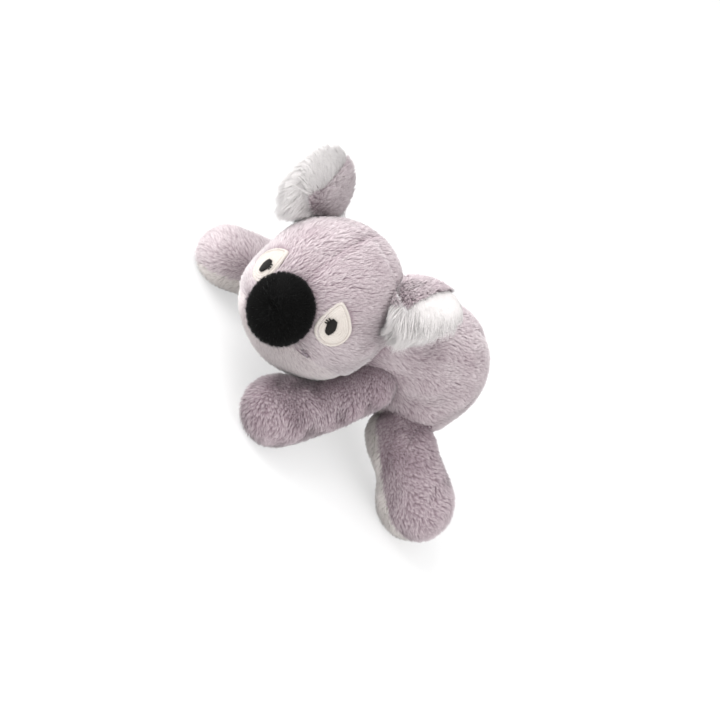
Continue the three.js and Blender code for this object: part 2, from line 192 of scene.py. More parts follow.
@dataclass(frozen=True)
class PileFinish:
    """Brushed polyester pile: dark and matt at its roots, painted shade deep in the pile, and paler and soft
    at its tips, painted light scattered through them.

    Each strand takes its tone from U and its painted shade and light along its length from V.
    """

    name: str
    root: str
    shade: str
    tip: str
    pale_tip: str
    sheen: float = 0.4
    roughness: float = 0.85
    gloss: float = 0.2
    shade_at: float = 0.45
    sheen_roughness: float = 0.45

    def material(self) -> bpy.types.Material:
        """Makes or finds the finish."""
        made = bpy.data.materials.get(self.name)
        if made:
            return made
        made = bpy.data.materials.new(self.name)
        made.use_nodes = True
        tree = made.node_tree
        surface = tree.nodes["Principled BSDF"]
        place = add(tree, "ShaderNodeUVMap", uv_map=UV_NAME)
        split = add(tree, "ShaderNodeSeparateXYZ", {"Vector": place.outputs["UV"]})
        # Both ramps darken towards the root and pale towards the tip: painted shade in the pile and painted
        # light in its tips.
        dark = add(
            tree, "ShaderNodeValToRGB", {"Fac": split.outputs["Y"]},
            ((0.0, linear(self.root)), (self.shade_at, linear(self.shade)), (1.0, linear(self.tip))),
        )
        light = add(
            tree, "ShaderNodeValToRGB", {"Fac": split.outputs["Y"]},
            ((0.0, linear(self.shade)), (self.shade_at, linear(self.tip)), (1.0, linear(self.pale_tip))),
        )
        mixed = add(
            tree, "ShaderNodeMix",
            {"Factor": split.outputs["X"], 6: dark.outputs["Color"], 7: light.outputs["Color"]},
            data_type="RGBA",
        )
        tree.links.new(mixed.outputs[2], surface.inputs["Base Color"])
        surface.inputs["Roughness"].default_value = self.roughness
        surface.inputs["Specular IOR Level"].default_value = self.gloss
        surface.inputs["Sheen Weight"].default_value = self.sheen
        surface.inputs["Sheen Roughness"].default_value = self.sheen_roughness
        return made


@dataclass(frozen=True)
class ClothFinish:
    """Knitted polyester cloth: fine loops a third of a millimetre apart, which light catches unevenly; its
    colour darkens between the loops, painted shade in their hollows.
    """

    name: str
    dark: str
    pale: str
    grain: float = 0.34
    relief: float = 0.05
    roughness: float = 0.9
    sheen: float = 0.2
    gloss: float = 0.25
    cloud: float = 4.0
    relief_strength: float = 0.7
    pale_at: float = 0.05
    dark_at: float = 0.5

    def material(self) -> bpy.types.Material:
        """Makes or finds the finish."""
        made = bpy.data.materials.get(self.name)
        if made:
            return made
        made = bpy.data.materials.new(self.name)
        made.use_nodes = True
        tree = made.node_tree
        surface = tree.nodes["Principled BSDF"]
        place = add(tree, "ShaderNodeTexCoord").outputs["Object"]
        loops = add(tree, "ShaderNodeTexVoronoi", {"Vector": place, "Scale": 1 / (self.grain * METRES)})
        cloud = add(
            tree, "ShaderNodeTexNoise", {"Vector": place, "Scale": 1 / (self.cloud * METRES), "Detail": 3.0},
        )
        both = add(
            tree, "ShaderNodeMath",
            {0: loops.outputs["Distance"], 1: cloud.outputs["Fac"]},
            operation="MULTIPLY",
        )
        # Pale at the loops' middles and darker between them: painted shade in the hollows of the knit.
        colour = add(
            tree, "ShaderNodeValToRGB", {"Fac": both.outputs["Value"]},
            ((self.pale_at, linear(self.pale)), (self.dark_at, linear(self.dark))),
        )
        raised = add(
            tree, "ShaderNodeBump",
            {
                "Height": loops.outputs["Distance"], "Distance": self.relief * METRES,
                "Strength": self.relief_strength,
            },
            invert=True,
        )
        tree.links.new(colour.outputs["Color"], surface.inputs["Base Color"])
        tree.links.new(raised.outputs["Normal"], surface.inputs["Normal"])
        surface.inputs["Roughness"].default_value = self.roughness
        surface.inputs["Specular IOR Level"].default_value = self.gloss
        surface.inputs["Sheen Weight"].default_value = self.sheen
        return made


LILAC_PILE = PileFinish("brushed_lilac_pile", "#836F77", "#B09EA5", "#CBBDC1", "#EEE6E7")
# A paler copy for the chin: partly the lower face's own paler colour, partly painted light on the shaded
# underside of the head.
PALE_LILAC_PILE = PileFinish("pale_lilac_pile", "#968689", "#C2B4B7", "#DBD0D1", "#F1EAE8")
# A darker copy of the lilac pile for the near arm and the legs: painted shade on their shaded sides and on
# pile seen against its lay.
SHADED_LILAC_PILE = PileFinish("shaded_lilac_pile", "#69555E", "#917C85", "#B2A0A7", "#DDD0D4")
CREAM_PILE = PileFinish("brushed_cream_pile", "#C6BDB9", "#DBD3CF", "#E9E3DF", "#F0ECE9")
WHITE_PILE = PileFinish("long_white_pile", "#BDB9B8", "#CAC6C5", "#DDD9D8", "#F3F0EF", sheen=0.2)
BLACK_PILE = PileFinish(
    "short_black_pile", "#020202", "#030303", "#080808", "#141312", sheen=0.02, roughness=0.75, gloss=0.12,
)
LILAC_CLOTH = ClothFinish("lilac_backing_cloth", "#9A898F", "#B1A1A7")
CREAM_CLOTH = ClothFinish("cream_backing_cloth", "#A39E98", "#C4C0BA")
WHITE_CLOTH = ClothFinish("white_backing_cloth", "#B7B4B4", "#DAD8D8")
BLACK_CLOTH = ClothFinish("black_backing_cloth", "#060606", "#0E0E0E")
VELOUR = ClothFinish("cream_velour", "#B9B1AA", "#CBC4BE", grain=0.22, relief=0.03)
BLACK_THREAD = ClothFinish(
    "black_satin_thread", "#070505", "#16110D", grain=0.15, relief=0.02, roughness=0.5, sheen=0.0,
)
MOUTH_THREAD = replace(BLACK_THREAD, name="grey_thread", dark="#6E6469", pale="#8C8187", roughness=0.6)
HIP_THREAD = replace(MOUTH_THREAD, name="dark_plum_thread", dark="#5A4951", pale="#75646C")
FIBRE_FILL = ClothFinish("polyester_fibre_fill", "#D9D8D4", "#F2F1EE", grain=0.9, relief=0.25)


# Stuffed forms


class SoftForm:
    """A closed stuffed form: its mesh in millimetres, and what lies on or near it."""

    def __init__(self, name: str, shape: bmesh.types.BMesh) -> None:
        """Keeps the form's mesh and a tree for finding its nearest points.

        Args:
            name: The form's name.
            shape: Its closed mesh in millimetres, which is freed.
        """
        self.name = name
        bmesh.ops.triangulate(shape, faces=shape.faces)
        bmesh.ops.recalc_face_normals(shape, faces=shape.faces)
        shape.verts.index_update()
        self.points = np.array([vert.co for vert in shape.verts])
        self.faces = np.array([[vert.index for vert in face.verts] for face in shape.faces])
        shape.free()
        self.refresh()

    def refresh(self) -> None:
        """Works out the normals and the search tree of the points as they now are."""
        corners = self.points[self.faces]
        across = np.cross(corners[:, 1] - corners[:, 0], corners[:, 2] - corners[:, 0])
        sums = np.zeros_like(self.points)
        for corner in range(3):
            np.add.at(sums, self.faces[:, corner], across)
        self.normals = unit(sums)
        self.tree = BVHTree.FromPolygons(self.points.tolist(), self.faces.tolist())

    def settle(self, points: np.ndarray) -> tuple[np.ndarray, np.ndarray, np.ndarray]:
        """Finds the nearest place on the form for each point.

        Args:
            points: Points in millimetres.

        Returns:
            The nearest places, the form's smooth normals there, and how far out each point lies.
        """
        hits = [self.tree.find_nearest(point) for point in points.tolist()]
        places = np.array([hit[0] for hit in hits])
        faces = self.faces[[hit[2] for hit in hits]]
        corners = self.points[faces]
        one, two, rest = corners[:, 1] - corners[:, 0], corners[:, 2] - corners[:, 0], places - corners[:, 0]
        a, b, c = (one * one).sum(1), (one * two).sum(1), (two * two).sum(1)
        d, e = (rest * one).sum(1), (rest * two).sum(1)
        scale = np.maximum(a * c - b * b, 1e-12)
        second = (c * d - b * e) / scale
        third = (a * e - b * d) / scale
        shares = np.stack([1 - second - third, second, third], axis=1)
        normals = unit((self.normals[faces] * shares[:, :, None]).sum(axis=1))
        return places, normals, ((points - places) * normals).sum(axis=1)

    def gap(self, points: np.ndarray, limit: float) -> np.ndarray:
        """Gives each point's distance outside the form, at most a limit."""
        gaps = np.full(len(points), limit)
        for index, point in enumerate(points.tolist()):
            place, normal, _, distance = self.tree.find_nearest(point, 3 * limit)
            if place is not None:
                outward = (Vector(point) - place).dot(normal)
                gaps[index] = min(limit, math.copysign(distance, outward))
        return gaps


def angles_from(towards: Triple, directions: np.ndarray) -> np.ndarray:
    """Gives the angle in radians between one direction and each of many."""
    return np.arccos(np.clip(directions @ unit(np.array(towards)), -1, 1))


def globe(around: int, along: int) -> bmesh.types.BMesh:
    """Makes a unit ball with its poles on Z."""
    shape = bmesh.new()
    bmesh.ops.create_uvsphere(shape, u_segments=around, v_segments=along, radius=1)
    return shape


@dataclass(frozen=True)
class Knot:
    """A place on a stuffed bag's spine, and the bag's radius there."""

    at: Triple
    radius: float


@dataclass(frozen=True)
class Swell:
    """A rounded hump on a form."""

    at: Triple
    height: float
    spread: float


@dataclass(frozen=True)
class Fold:
    """A crease in a form, with the rolls of cloth beside it."""

    END_SHARE = 0.35
    ROLL_WIDTH = 2.2
    SINK = 1.35
    RISE = 0.5
    # How much the pile darkens on a crease: painted shade.
    SHADE = 0.8

    start: Triple
    end: Triple
    depth: float
    width: float

    def nearness(self, points: np.ndarray) -> np.ndarray:
        """Gives 1 on the crease, falling to 0 beside it and past its ends."""
        start, run = np.array(self.start), np.array(self.end) - np.array(self.start)
        share = np.clip(((points - start) @ run) / (run @ run), 0, 1)
        apart = np.linalg.norm(points - start - run * share[:, None], axis=1) / self.width
        fade = smoothstep(4 * np.minimum(share, 1 - share))
        return np.exp(-apart * apart) * (self.END_SHARE + (1 - self.END_SHARE) * fade)

    def press(self, form: "SoftForm") -> None:
        """Presses the crease into a form."""
        near = self.nearness(form.points)
        wide = replace(self, width=self.ROLL_WIDTH * self.width).nearness(form.points)
        sunk = self.depth * (self.SINK * near - self.RISE * wide)
        form.points = form.points - form.normals * sunk[:, None]
        form.refresh()


def painted_fold_shade(folds: tuple[Fold, ...], places: np.ndarray) -> np.ndarray:
    """Gives how much darker pile is at each place for the folds there: painted shade in the creases."""
    return Fold.SHADE * sum((fold.nearness(places) for fold in folds), np.zeros(len(places)))


class Spine:
    """The smooth line and radius that a stuffed bag follows."""

    STRIDE = 10

    def __init__(self, knots: list[Knot], count: int = 400) -> None:
        """Samples the line through the knots.

        Args:
            knots: The three knots.
            count: How many samples it keeps.
        """
        at = np.array([knot.at for knot in knots])
        radii = np.array([knot.radius for knot in knots])
        ends = np.vstack([2 * at[0] - at[1], at, 2 * at[-1] - at[-2]])
        steps = np.linspace(0, 1, count)
        way = steps * (len(knots) - 1)
        part = np.minimum(way.astype(int), len(knots) - 2)
        local = (way - part)[:, None]
        p0, p1, p2, p3 = (ends[part + shift] for shift in range(4))
        pairs = ((p0, p1), (p1, p2), (p2, p3))
        d0, d1, d2 = (np.sqrt(np.linalg.norm(b - a, axis=1))[:, None] for a, b in pairs)
        t1 = ((p1 - p0) / d0 - (p2 - p0) / (d0 + d1) + (p2 - p1) / d1) * d1
        t2 = ((p2 - p1) / d1 - (p3 - p1) / (d1 + d2) + (p3 - p2) / d2) * d1
        self.places = (
            p1 + t1 * local + (-3 * p1 + 3 * p2 - 2 * t1 - t2) * local**2
            + (2 * p1 - 2 * p2 + t1 + t2) * local**3
        )
        self.radii = radii[part] + (radii[part + 1] - radii[part]) * smoothstep(way - part)
        self.tangents = unit(np.gradient(self.places, axis=0))
        self.travel = np.concatenate([[0], np.cumsum(np.linalg.norm(np.diff(self.places, axis=0), axis=1))])

    def nearest(self, points: np.ndarray) -> np.ndarray:
        """Gives the number of the spine's sample beside each point."""
        sparse = self.places[::self.STRIDE]
        return self.STRIDE * np.linalg.norm(points[:, None] - sparse[None], axis=2).argmin(axis=1)

    def along(self, points: np.ndarray) -> np.ndarray:
        """Gives the spine's direction beside each point."""
        return self.tangents[self.nearest(points)]

    def beside(self, points: np.ndarray) -> np.ndarray:
        """Gives the spine's place beside each point."""
        return self.places[self.nearest(points)]


def bag_form(name: str, spine: Spine, swells: tuple[Swell, ...], around: int, along: int) -> SoftForm:
    """Makes a round-ended bag along a spine.

    Args:
        name: The form's name.
        spine: Its spine.
        swells: Humps on it.
        around: Divisions round it.
        along: Divisions from end to end.

    Returns:
        The form.
    """
    shape = globe(around, along)
    shape.verts.ensure_lookup_table()
    ball = np.array([vert.co for vert in shape.verts])
    way = np.arccos(np.clip(ball[:, 2], -1, 1)) / np.pi
    angle = np.arctan2(ball[:, 1], ball[:, 0])
    length = spine.travel[-1]
    start_cap, end_cap = spine.radii[0] * np.pi / 2, spine.radii[-1] * np.pi / 2
    travel = way * (start_cap + length + end_cap)
    stop = np.clip(travel - start_cap, 0, length)
    past_end = np.maximum(0, travel - start_cap - length) / spine.radii[-1]
    before_start = np.maximum(0, start_cap - travel) / spine.radii[0]
    lean = past_end - before_start
    places = np.stack([np.interp(stop, spine.travel, line) for line in spine.places.T], axis=1)
    tangents = unit(np.stack([np.interp(stop, spine.travel, line) for line in spine.tangents.T], axis=1))
    radii = np.interp(stop, spine.travel, spine.radii)
    up = np.array([0.0, 0.0, 1.0])
    sideways = unit(np.cross(tangents, up))
    upward = np.cross(sideways, tangents)
    ring = sideways * np.cos(angle)[:, None] + upward * np.sin(angle)[:, None]
    outward = ring * np.cos(lean)[:, None] + tangents * np.sin(lean)[:, None]
    points = places + outward * radii[:, None]
    grown = np.zeros(len(points))
    for swell in swells:
        offset = np.linalg.norm(points - np.array(swell.at), axis=1) / swell.spread
        grown += swell.height * np.exp(-offset * offset)
    points += outward * grown[:, None]
    for vert, point in zip(shape.verts, points):
        vert.co = point
    return SoftForm(name, shape)


class Stuffing:
    """Puffs stuffed forms up between their seams by a short cloth simulation.

    The cloth is simulated fifty times as large as the toy, where its default weave settles well.
    """

    LARGER = 0.05
    FRAMES = 20
    PRESSURE = 4.0
    SLACK = -0.03
    QUALITY = 4
    REACH = 0.75
    SEAM = 0.9

    def seams(self, form: SoftForm, nodes: list[str]) -> np.ndarray:
        """Finds the points of a form that lie where two panels meet.

        Args:
            form: The form.
            nodes: Its panels' nodes.

        Returns:
            Whether each point is on a seam.
        """
        apart = np.empty((len(nodes), len(form.points)))
        for row, node in enumerate(nodes):
            shape = node_shape(node, math.inf)
            tree = BVHTree.FromBMesh(shape)
            apart[row] = [tree.find_nearest(point)[3] for point in form.points.tolist()]
            shape.free()
        return np.sort(apart, axis=0)[1] < self.SEAM

    def puff(self, form: SoftForm, nodes: list[str]) -> None:
        """Simulates the form's cloth under pressure, held at its seams.

        Args:
            form: The form, whose points are moved.
            nodes: Its panels' nodes.
        """
        held = self.seams(form, nodes)
        mesh = bpy.data.meshes.new("bag")
        mesh.from_pydata((form.points * self.LARGER).tolist(), [], form.faces.tolist())
        bag = bpy.data.objects.new("bag", mesh)
        bpy.context.scene.collection.objects.link(bag)
        group = bag.vertex_groups.new(name="seams")
        group.add(np.flatnonzero(held).tolist(), 1.0, "REPLACE")
        cloth = bag.modifiers.new("cloth", "CLOTH")
        cloth.settings.vertex_group_mass = "seams"
        cloth.settings.use_pressure = True
        cloth.settings.uniform_pressure_force = self.PRESSURE
        cloth.settings.shrink_min = self.SLACK
        cloth.settings.effector_weights.gravity = 0
        cloth.settings.quality = self.QUALITY
        cloth.collision_settings.use_collision = False
        cloth.point_cache.frame_end = self.FRAMES
        scene = bpy.context.scene
        for number in range(1, self.FRAMES + 1):
            scene.frame_set(number)
        settled = bpy.data.meshes.new_from_object(bag.evaluated_get(bpy.context.evaluated_depsgraph_get()))
        moved = np.array([vert.co for vert in settled.vertices]) / self.LARGER - form.points
        scene.frame_set(1)
        bpy.data.objects.remove(bag)
        bpy.data.meshes.remove(mesh)
        bpy.data.meshes.remove(settled)
        reach = np.linalg.norm(moved, axis=1)
        kept = self.REACH * np.tanh(reach / self.REACH) / np.maximum(reach, 1e-6)
        form.points = form.points + moved * kept[:, None]
        form.refresh()
        farthest, on_seams = float((reach * kept).max()), int(held.sum())
        LOG.info("%s: puffed by up to %.2f mm, %d points on seams", form.name, farthest, on_seams)


# Pile


class Comb(Enum):
    """The ways in which the pile is brushed."""

    FROM_NOSE = "from_nose"
    TO_RUMP = "to_rump"
    DOWN_LIMB = "down_limb"
    FROM_EAR_ROOT = "from_ear_root"
    OUTWARD = "outward"


@dataclass(frozen=True)
class Pile:
    """How a pile stands: its strands' size, number, lean and locks."""

    FULLNESS = 2.2

    finish: PileFinish
    length: float
    width: float
    per_square: float
    lean: float
    tip_lean: float
    lock: float
    gather: float = 0.6
    unrule: float = 14
    rings: int = 1
    shortest: float = 0.75
    roundness: float = 0.9
    swirl: float = 0.5

    def strand(self) -> tuple[np.ndarray, np.ndarray]:
        """Models one strand, a closed three-sided spike of unit height.

        Returns:
            Its points, and its triangles as point numbers.
        """
        shape = bmesh.new()
        bmesh.ops.create_cone(shape, cap_ends=True, segments=3, radius1=0.5, radius2=0.0, depth=1)
        bmesh.ops.remove_doubles(shape, verts=shape.verts, dist=0.001)
        bmesh.ops.translate(shape, vec=(0, 0, 0.5), verts=shape.verts)
        for ring in range(1, self.rings):
            parts = shape.verts[:] + shape.edges[:] + shape.faces[:]
            bmesh.ops.bisect_plane(shape, geom=parts, plane_co=(0, 0, ring / self.rings), plane_no=(0, 0, 1))
        for vert in shape.verts:
            height = vert.co.z
            plain = max(1 - height, 1e-6)
            fuller = (1 - height**self.FULLNESS) / plain
            vert.co.x *= fuller
            vert.co.y *= fuller
        bmesh.ops.triangulate(shape, faces=shape.faces)
        bmesh.ops.recalc_face_normals(shape, faces=shape.faces)
        shape.verts.index_update()
        points = np.array([vert.co for vert in shape.verts])
        faces = np.array([[vert.index for vert in face.verts] for face in shape.faces])
        shape.free()
        return points, faces


LILAC = Pile(
    LILAC_PILE, length=2.5, width=0.28, per_square=12.0, lean=45, tip_lean=66, lock=0.85, gather=0.5,
    unrule=13,
)
HEAD_LILAC = replace(
    LILAC, length=2.6, width=0.26, per_square=12.5, lean=46, tip_lean=68, lock=0.75, unrule=9, swirl=0.22,
)
SHORT_LILAC = replace(
    HEAD_LILAC, finish=PALE_LILAC_PILE, length=2.0, lean=42, tip_lean=62, lock=0.7, gather=0.4,
)
LIMB_LILAC = replace(LILAC, finish=SHADED_LILAC_PILE, length=2.6, lean=40, tip_lean=62, lock=0.9, unrule=16)
EAR_LILAC = Pile(
    LILAC_PILE, length=2.6, width=0.24, per_square=17.0, lean=32, tip_lean=58, lock=0.8, gather=0.38,
    unrule=26, rings=2, swirl=0.35,
)
CREAM = Pile(CREAM_PILE, length=2.0, width=0.3, per_square=10.0, lean=45, tip_lean=62, lock=0.95, gather=0.55)
WHITE = Pile(
    WHITE_PILE, length=6.8, width=0.16, per_square=21.0, lean=34, tip_lean=58, lock=1.3, gather=0.38,
    unrule=18, rings=2, shortest=0.35, roundness=0.12,
)
WHITE_LONG = replace(
    WHITE, length=12.0, per_square=22.0, lean=54, tip_lean=76, lock=1.6, gather=0.3, unrule=13,
)
WHITE_FOLD = replace(
    WHITE, length=10.5, per_square=22.0, lean=48, tip_lean=76, lock=1.5, gather=0.32, unrule=14, shortest=0.4,
)
WHITE_SHORT_FOLD = replace(
    WHITE_FOLD, length=7.5, lean=36, tip_lean=66, lock=1.2, gather=0.35, unrule=16,
)
BLACK = Pile(
    BLACK_PILE, length=1.9, width=0.22, per_square=20.0, lean=16, tip_lean=44, lock=1.0, gather=0.42,
    unrule=26, shortest=0.7,
)


def everywhere(places: np.ndarray) -> np.ndarray:
    """Picks every place."""
    return np.ones(len(places), dtype=bool)


def no_face(places: np.ndarray, facing: np.ndarray) -> np.ndarray:
    """Picks no face."""
    return np.zeros(len(places), dtype=bool)


@dataclass
class Brushing:
    """Which way the pile lies on a panel, and what it keeps clear of."""

    LIMB_SHARE = 0.6

    comb: Comb
    towards: np.ndarray
    spine: Spine | None = None
    origin: np.ndarray | None = None
    neighbours: list[SoftForm] = field(default_factory=list)
    bare: list[tuple[np.ndarray, float]] = field(default_factory=list)
    fall: np.ndarray = field(default_factory=lambda: np.zeros(3))
    least: float = 0.45
    nearest: float = 0.15
    trim: OfPlaces = lambda places: np.ones(len(places))

    def direction(self, points: np.ndarray, normals: np.ndarray) -> np.ndarray:
        """Gives the way each strand leans along the surface.

        Args:
            points: The strands' roots.
            normals: The surface's normals there.

        Returns:
            Unit vectors along the surface.
        """
        flow = np.broadcast_to(self.towards, points.shape).astype(float)
        if self.comb in (Comb.FROM_NOSE, Comb.FROM_EAR_ROOT, Comb.OUTWARD):
            flow = flow + unit(points - self.origin)
        if self.comb is Comb.DOWN_LIMB:
            flow = flow + self.LIMB_SHARE * self.spine.along(points)
        return unit(flow - normals * (flow * normals).sum(axis=1, keepdims=True))


class PileMaker:
    """Grows pile on the outer faces of a panel."""

    SHADES = 0.02
    FLOOR = 0.03
    STRAY = 0.28
    MINGLE = 1.0
    PAINTED_CREASE_SHADE = 0.4
    CREASE_REACH = 1.6
    MIDDLE_TONE = 0.5
    CLOUD_TONE = 0.16
    LOCK_TONE = 0.14
    STRAND_TONE = 0.08
    SWIRL_SIZE = 9.0
    CLOUD_SIZE = 14.0
    LOCK_UNRULE = 1.3
    LOCK_LENGTHS = (0.85, 1.12)
    WIDTHS = (0.8, 1.2)
    FALL_BEND = 1.6
    GATHER_BEND = 1.2
    ROOM_REACH = 3
    ROOM_USED = 1.1
    QUICK_SHARE = 0.35

    def __init__(self, pile: Pile, brushing: Brushing, seed: int) -> None:
        """Keeps what the pile is like and how it is brushed.

        Args:
            pile: The pile.
            brushing: Its brushing.
            seed: The seed of its random draws.
        """
        self.pile = pile
        self.brushing = brushing
        self.rng = np.random.default_rng(seed)
        self.swirl = Ripple(seed + 100, self.SWIRL_SIZE)
        self.cloud = Ripple(seed + 200, self.CLOUD_SIZE)

    def scatter(self, corners: np.ndarray, per_square: float) -> np.ndarray:
        """Spreads points evenly at random over triangles.

        Args:
            corners: The triangles' corners.
            per_square: Points on each square millimetre.

        Returns:
            The points.
        """
        across = np.cross(corners[:, 1] - corners[:, 0], corners[:, 2] - corners[:, 0])
        areas = np.linalg.norm(across, axis=1) / 2
        edges = np.cumsum(areas)
        count = int(edges[-1] * per_square)
        draws = (np.arange(count) + self.rng.random(count)) / count * edges[-1]
        picked = corners[np.minimum(np.searchsorted(edges, draws), len(corners) - 1)]
        one, two = self.rng.random(count), self.rng.random(count)
        folded = one + two > 1
        one[folded], two[folded] = 1 - one[folded], 1 - two[folded]
        first, second, third = picked[:, 0], picked[:, 1], picked[:, 2]
        return first + (second - first) * one[:, None] + (third - first) * two[:, None]

    def path(
        self, roots: np.ndarray, normals: np.ndarray, combs: np.ndarray,
        lengths: np.ndarray, shares: np.ndarray,
    ) -> np.ndarray:
        """Follows each strand from its root as it bends over.

        Args:
            roots: Its roots.
            normals: The surface's normals there.
            combs: The ways they lean.
            lengths: Their lengths.
            shares: The shares of the length at which they are wanted.

        Returns:
            A point for each strand and share.
        """
        start, bend = math.radians(self.pile.lean), math.radians(self.pile.tip_lean - self.pile.lean)
        rise = (np.sin(start + bend * shares) - math.sin(start)) / bend
        reach = (math.cos(start) - np.cos(start + bend * shares)) / bend
        return (
            roots[:, None]
            + normals[:, None] * (rise[None, :] * lengths[:, None])[:, :, None]
            + combs[:, None] * (reach[None, :] * lengths[:, None])[:, :, None]
            + self.brushing.fall * (shares[None, :] ** self.FALL_BEND * lengths[:, None])[:, :, None]
        )

    def room(self, points: np.ndarray) -> np.ndarray:
        """Gives how much room each root has before a neighbouring form."""
        limit = self.ROOM_REACH * self.pile.length
        least = np.full(len(points), limit)
        for neighbour in self.brushing.neighbours:
            least = np.minimum(least, neighbour.gap(points, limit))
        return least

    def owners(self, roots: np.ndarray, locks: np.ndarray) -> np.ndarray:
        """Gives the number of the lock nearest to each root."""
        search = KDTree(len(locks))
        for index, place in enumerate(locks.tolist()):
            search.insert(place, index)
        search.balance()
        return np.array([search.find(place)[1] for place in roots.tolist()])

    def turned(self, combs: np.ndarray, normals: np.ndarray, angles: np.ndarray) -> np.ndarray:
        """Turns directions about the surface's normals by angles in radians."""
        across = np.cross(normals, combs)
        return combs * np.cos(angles)[:, None] + across * np.sin(angles)[:, None]

    def grow(
        self, name: str, corners: np.ndarray, form: SoftForm, tone: OfPlaces, where: OfPlaces
    ) -> bpy.types.Object:
        """Grows the pile as one mesh of closed strands.

        Args:
            name: The new piece's name.
            corners: The triangles that carry the pile.
            form: The form whose normals it follows.
            tone: How much paler the strands are at each place.
            where: The places that carry this pile.

        Returns:
            The piece.
        """
        pile = self.pile
        scale = 1.0
        spread_roots = self.scatter(corners, pile.per_square * scale)
        roots, normals, _ = form.settle(spread_roots + self.rng.normal(0, self.STRAY, spread_roots.shape))
        room = self.room(roots)
        keep = (room > self.brushing.nearest) & where(roots + self.rng.normal(0, self.MINGLE, roots.shape))
        for centre, radius in self.brushing.bare:
            keep &= np.linalg.norm(roots - centre, axis=1) > radius
        roots, normals, room = roots[keep], normals[keep], room[keep]
        locks, lock_normals, _ = form.settle(self.scatter(corners, 1 / pile.lock**2))
        owner = self.owners(roots, locks)

        count = len(roots)
        turns = pile.swirl * self.swirl.at(roots) + np.radians(self.rng.normal(0, pile.unrule, count))
        combs = self.turned(self.brushing.direction(roots, normals), normals, turns)
        unrule = self.rng.normal(0, self.LOCK_UNRULE * pile.unrule, len(locks))
        lock_turns = pile.swirl * self.swirl.at(locks) + np.radians(unrule)
        lock_combs = self.turned(self.brushing.direction(locks, lock_normals), lock_normals, lock_turns)
        lock_tones = self.rng.normal(0, 1, len(locks))
        lock_lengths = self.rng.uniform(*self.LOCK_LENGTHS, len(locks))
        lengths = pile.length * lock_lengths[owner] * self.rng.uniform(pile.shortest, 1.0, count)
        lengths = lengths * self.brushing.trim(roots)
        lengths = np.minimum(lengths, np.maximum(self.brushing.least, self.ROOM_USED * room))

        points, faces = pile.strand()
        own = self.path(roots, normals, combs, lengths, points[:, 2])
        lead = self.path(locks[owner], lock_normals[owner], lock_combs[owner], lengths, points[:, 2])
        pull = pile.gather * points[:, 2] ** self.GATHER_BEND
        middle = own + (lead - own) * pull[None, :, None]
        sideways = np.cross(combs, normals)
        widths = pile.width * self.rng.uniform(*self.WIDTHS, count)
        spread = sideways[:, None] * points[None, :, 1:2] + normals[:, None] * points[None, :, 0:1]
        places = middle + spread * widths[:, None, None]
        places[:, :, 2] = np.maximum(places[:, :, 2], self.FLOOR)
        shading = unit(normals[:, None] + pile.roundness * spread)

        tones = self.MIDDLE_TONE + tone(roots) + self.CLOUD_TONE * self.cloud.at(roots)
        tones = tones + self.LOCK_TONE * lock_tones[owner] + self.rng.normal(0, self.STRAND_TONE, count)
        # Pile darkens where a neighbouring form lies close: painted shade in the creases between parts.
        tones = tones - self.PAINTED_CREASE_SHADE * np.exp(-room / self.CREASE_REACH)
        tones = np.clip(tones, self.SHADES, 1 - 2 * self.SHADES)
        across = tones[:, None] + self.SHADES * (points[None, :, 1] + 0.5)
        sizes = np.broadcast_to(points[None, :, 2], across.shape)
        joined = (faces[None] + (np.arange(count) * len(points))[:, None, None]).reshape(-1, 3)
        uvs = np.stack([across.ravel(), sizes.ravel()], axis=1)
        return self.mesh(name, places.reshape(-1, 3), joined, shading.reshape(-1, 3), uvs)

    def mesh(
        self, name: str, points: np.ndarray, faces: np.ndarray, normals: np.ndarray, uvs: np.ndarray
    ) -> bpy.types.Object:
        """Makes the pile's object from its arrays.

        Args:
            name: The piece's name.
            points: Points in millimetres.
            faces: Triangles as point numbers.
            normals: The shading normal of each point.
            uvs: Each point's place in the pile's colours.

        Returns:
            The piece.
        """
        mesh = bpy.data.meshes.new(name)
        mesh.vertices.add(len(points))
        mesh.vertices.foreach_set("co", (points * METRES).astype(np.float32).ravel())
        mesh.loops.add(faces.size)
        mesh.loops.foreach_set("vertex_index", faces.astype(np.int32).ravel())
        mesh.polygons.add(len(faces))
        mesh.polygons.foreach_set("loop_start", np.arange(0, faces.size, 3, dtype=np.int32))
        mesh.update(calc_edges=True)
        mesh.polygons.foreach_set("use_smooth", np.ones(len(faces), dtype=bool))
        layer = mesh.uv_layers.new(name=UV_NAME)
        layer.data.foreach_set("uv", uvs[faces.ravel()].astype(np.float32).ravel())
        mesh.normals_split_custom_set_from_vertices(normals.astype(np.float32))
        mesh.materials.append(self.pile.finish.material())
        piece = bpy.data.objects.new(name, mesh)
        bpy.context.scene.collection.objects.link(piece)
        return piece


@dataclass
class Growth:
    """A pile on a panel, or on the part of it that a test picks."""

    suffix: str
    slot: str
    pile: Pile
    brushing: Brushing
    seed: int
    where: OfPlaces = everywhere
    tone: OfPlaces = lambda places: np.zeros(len(places))


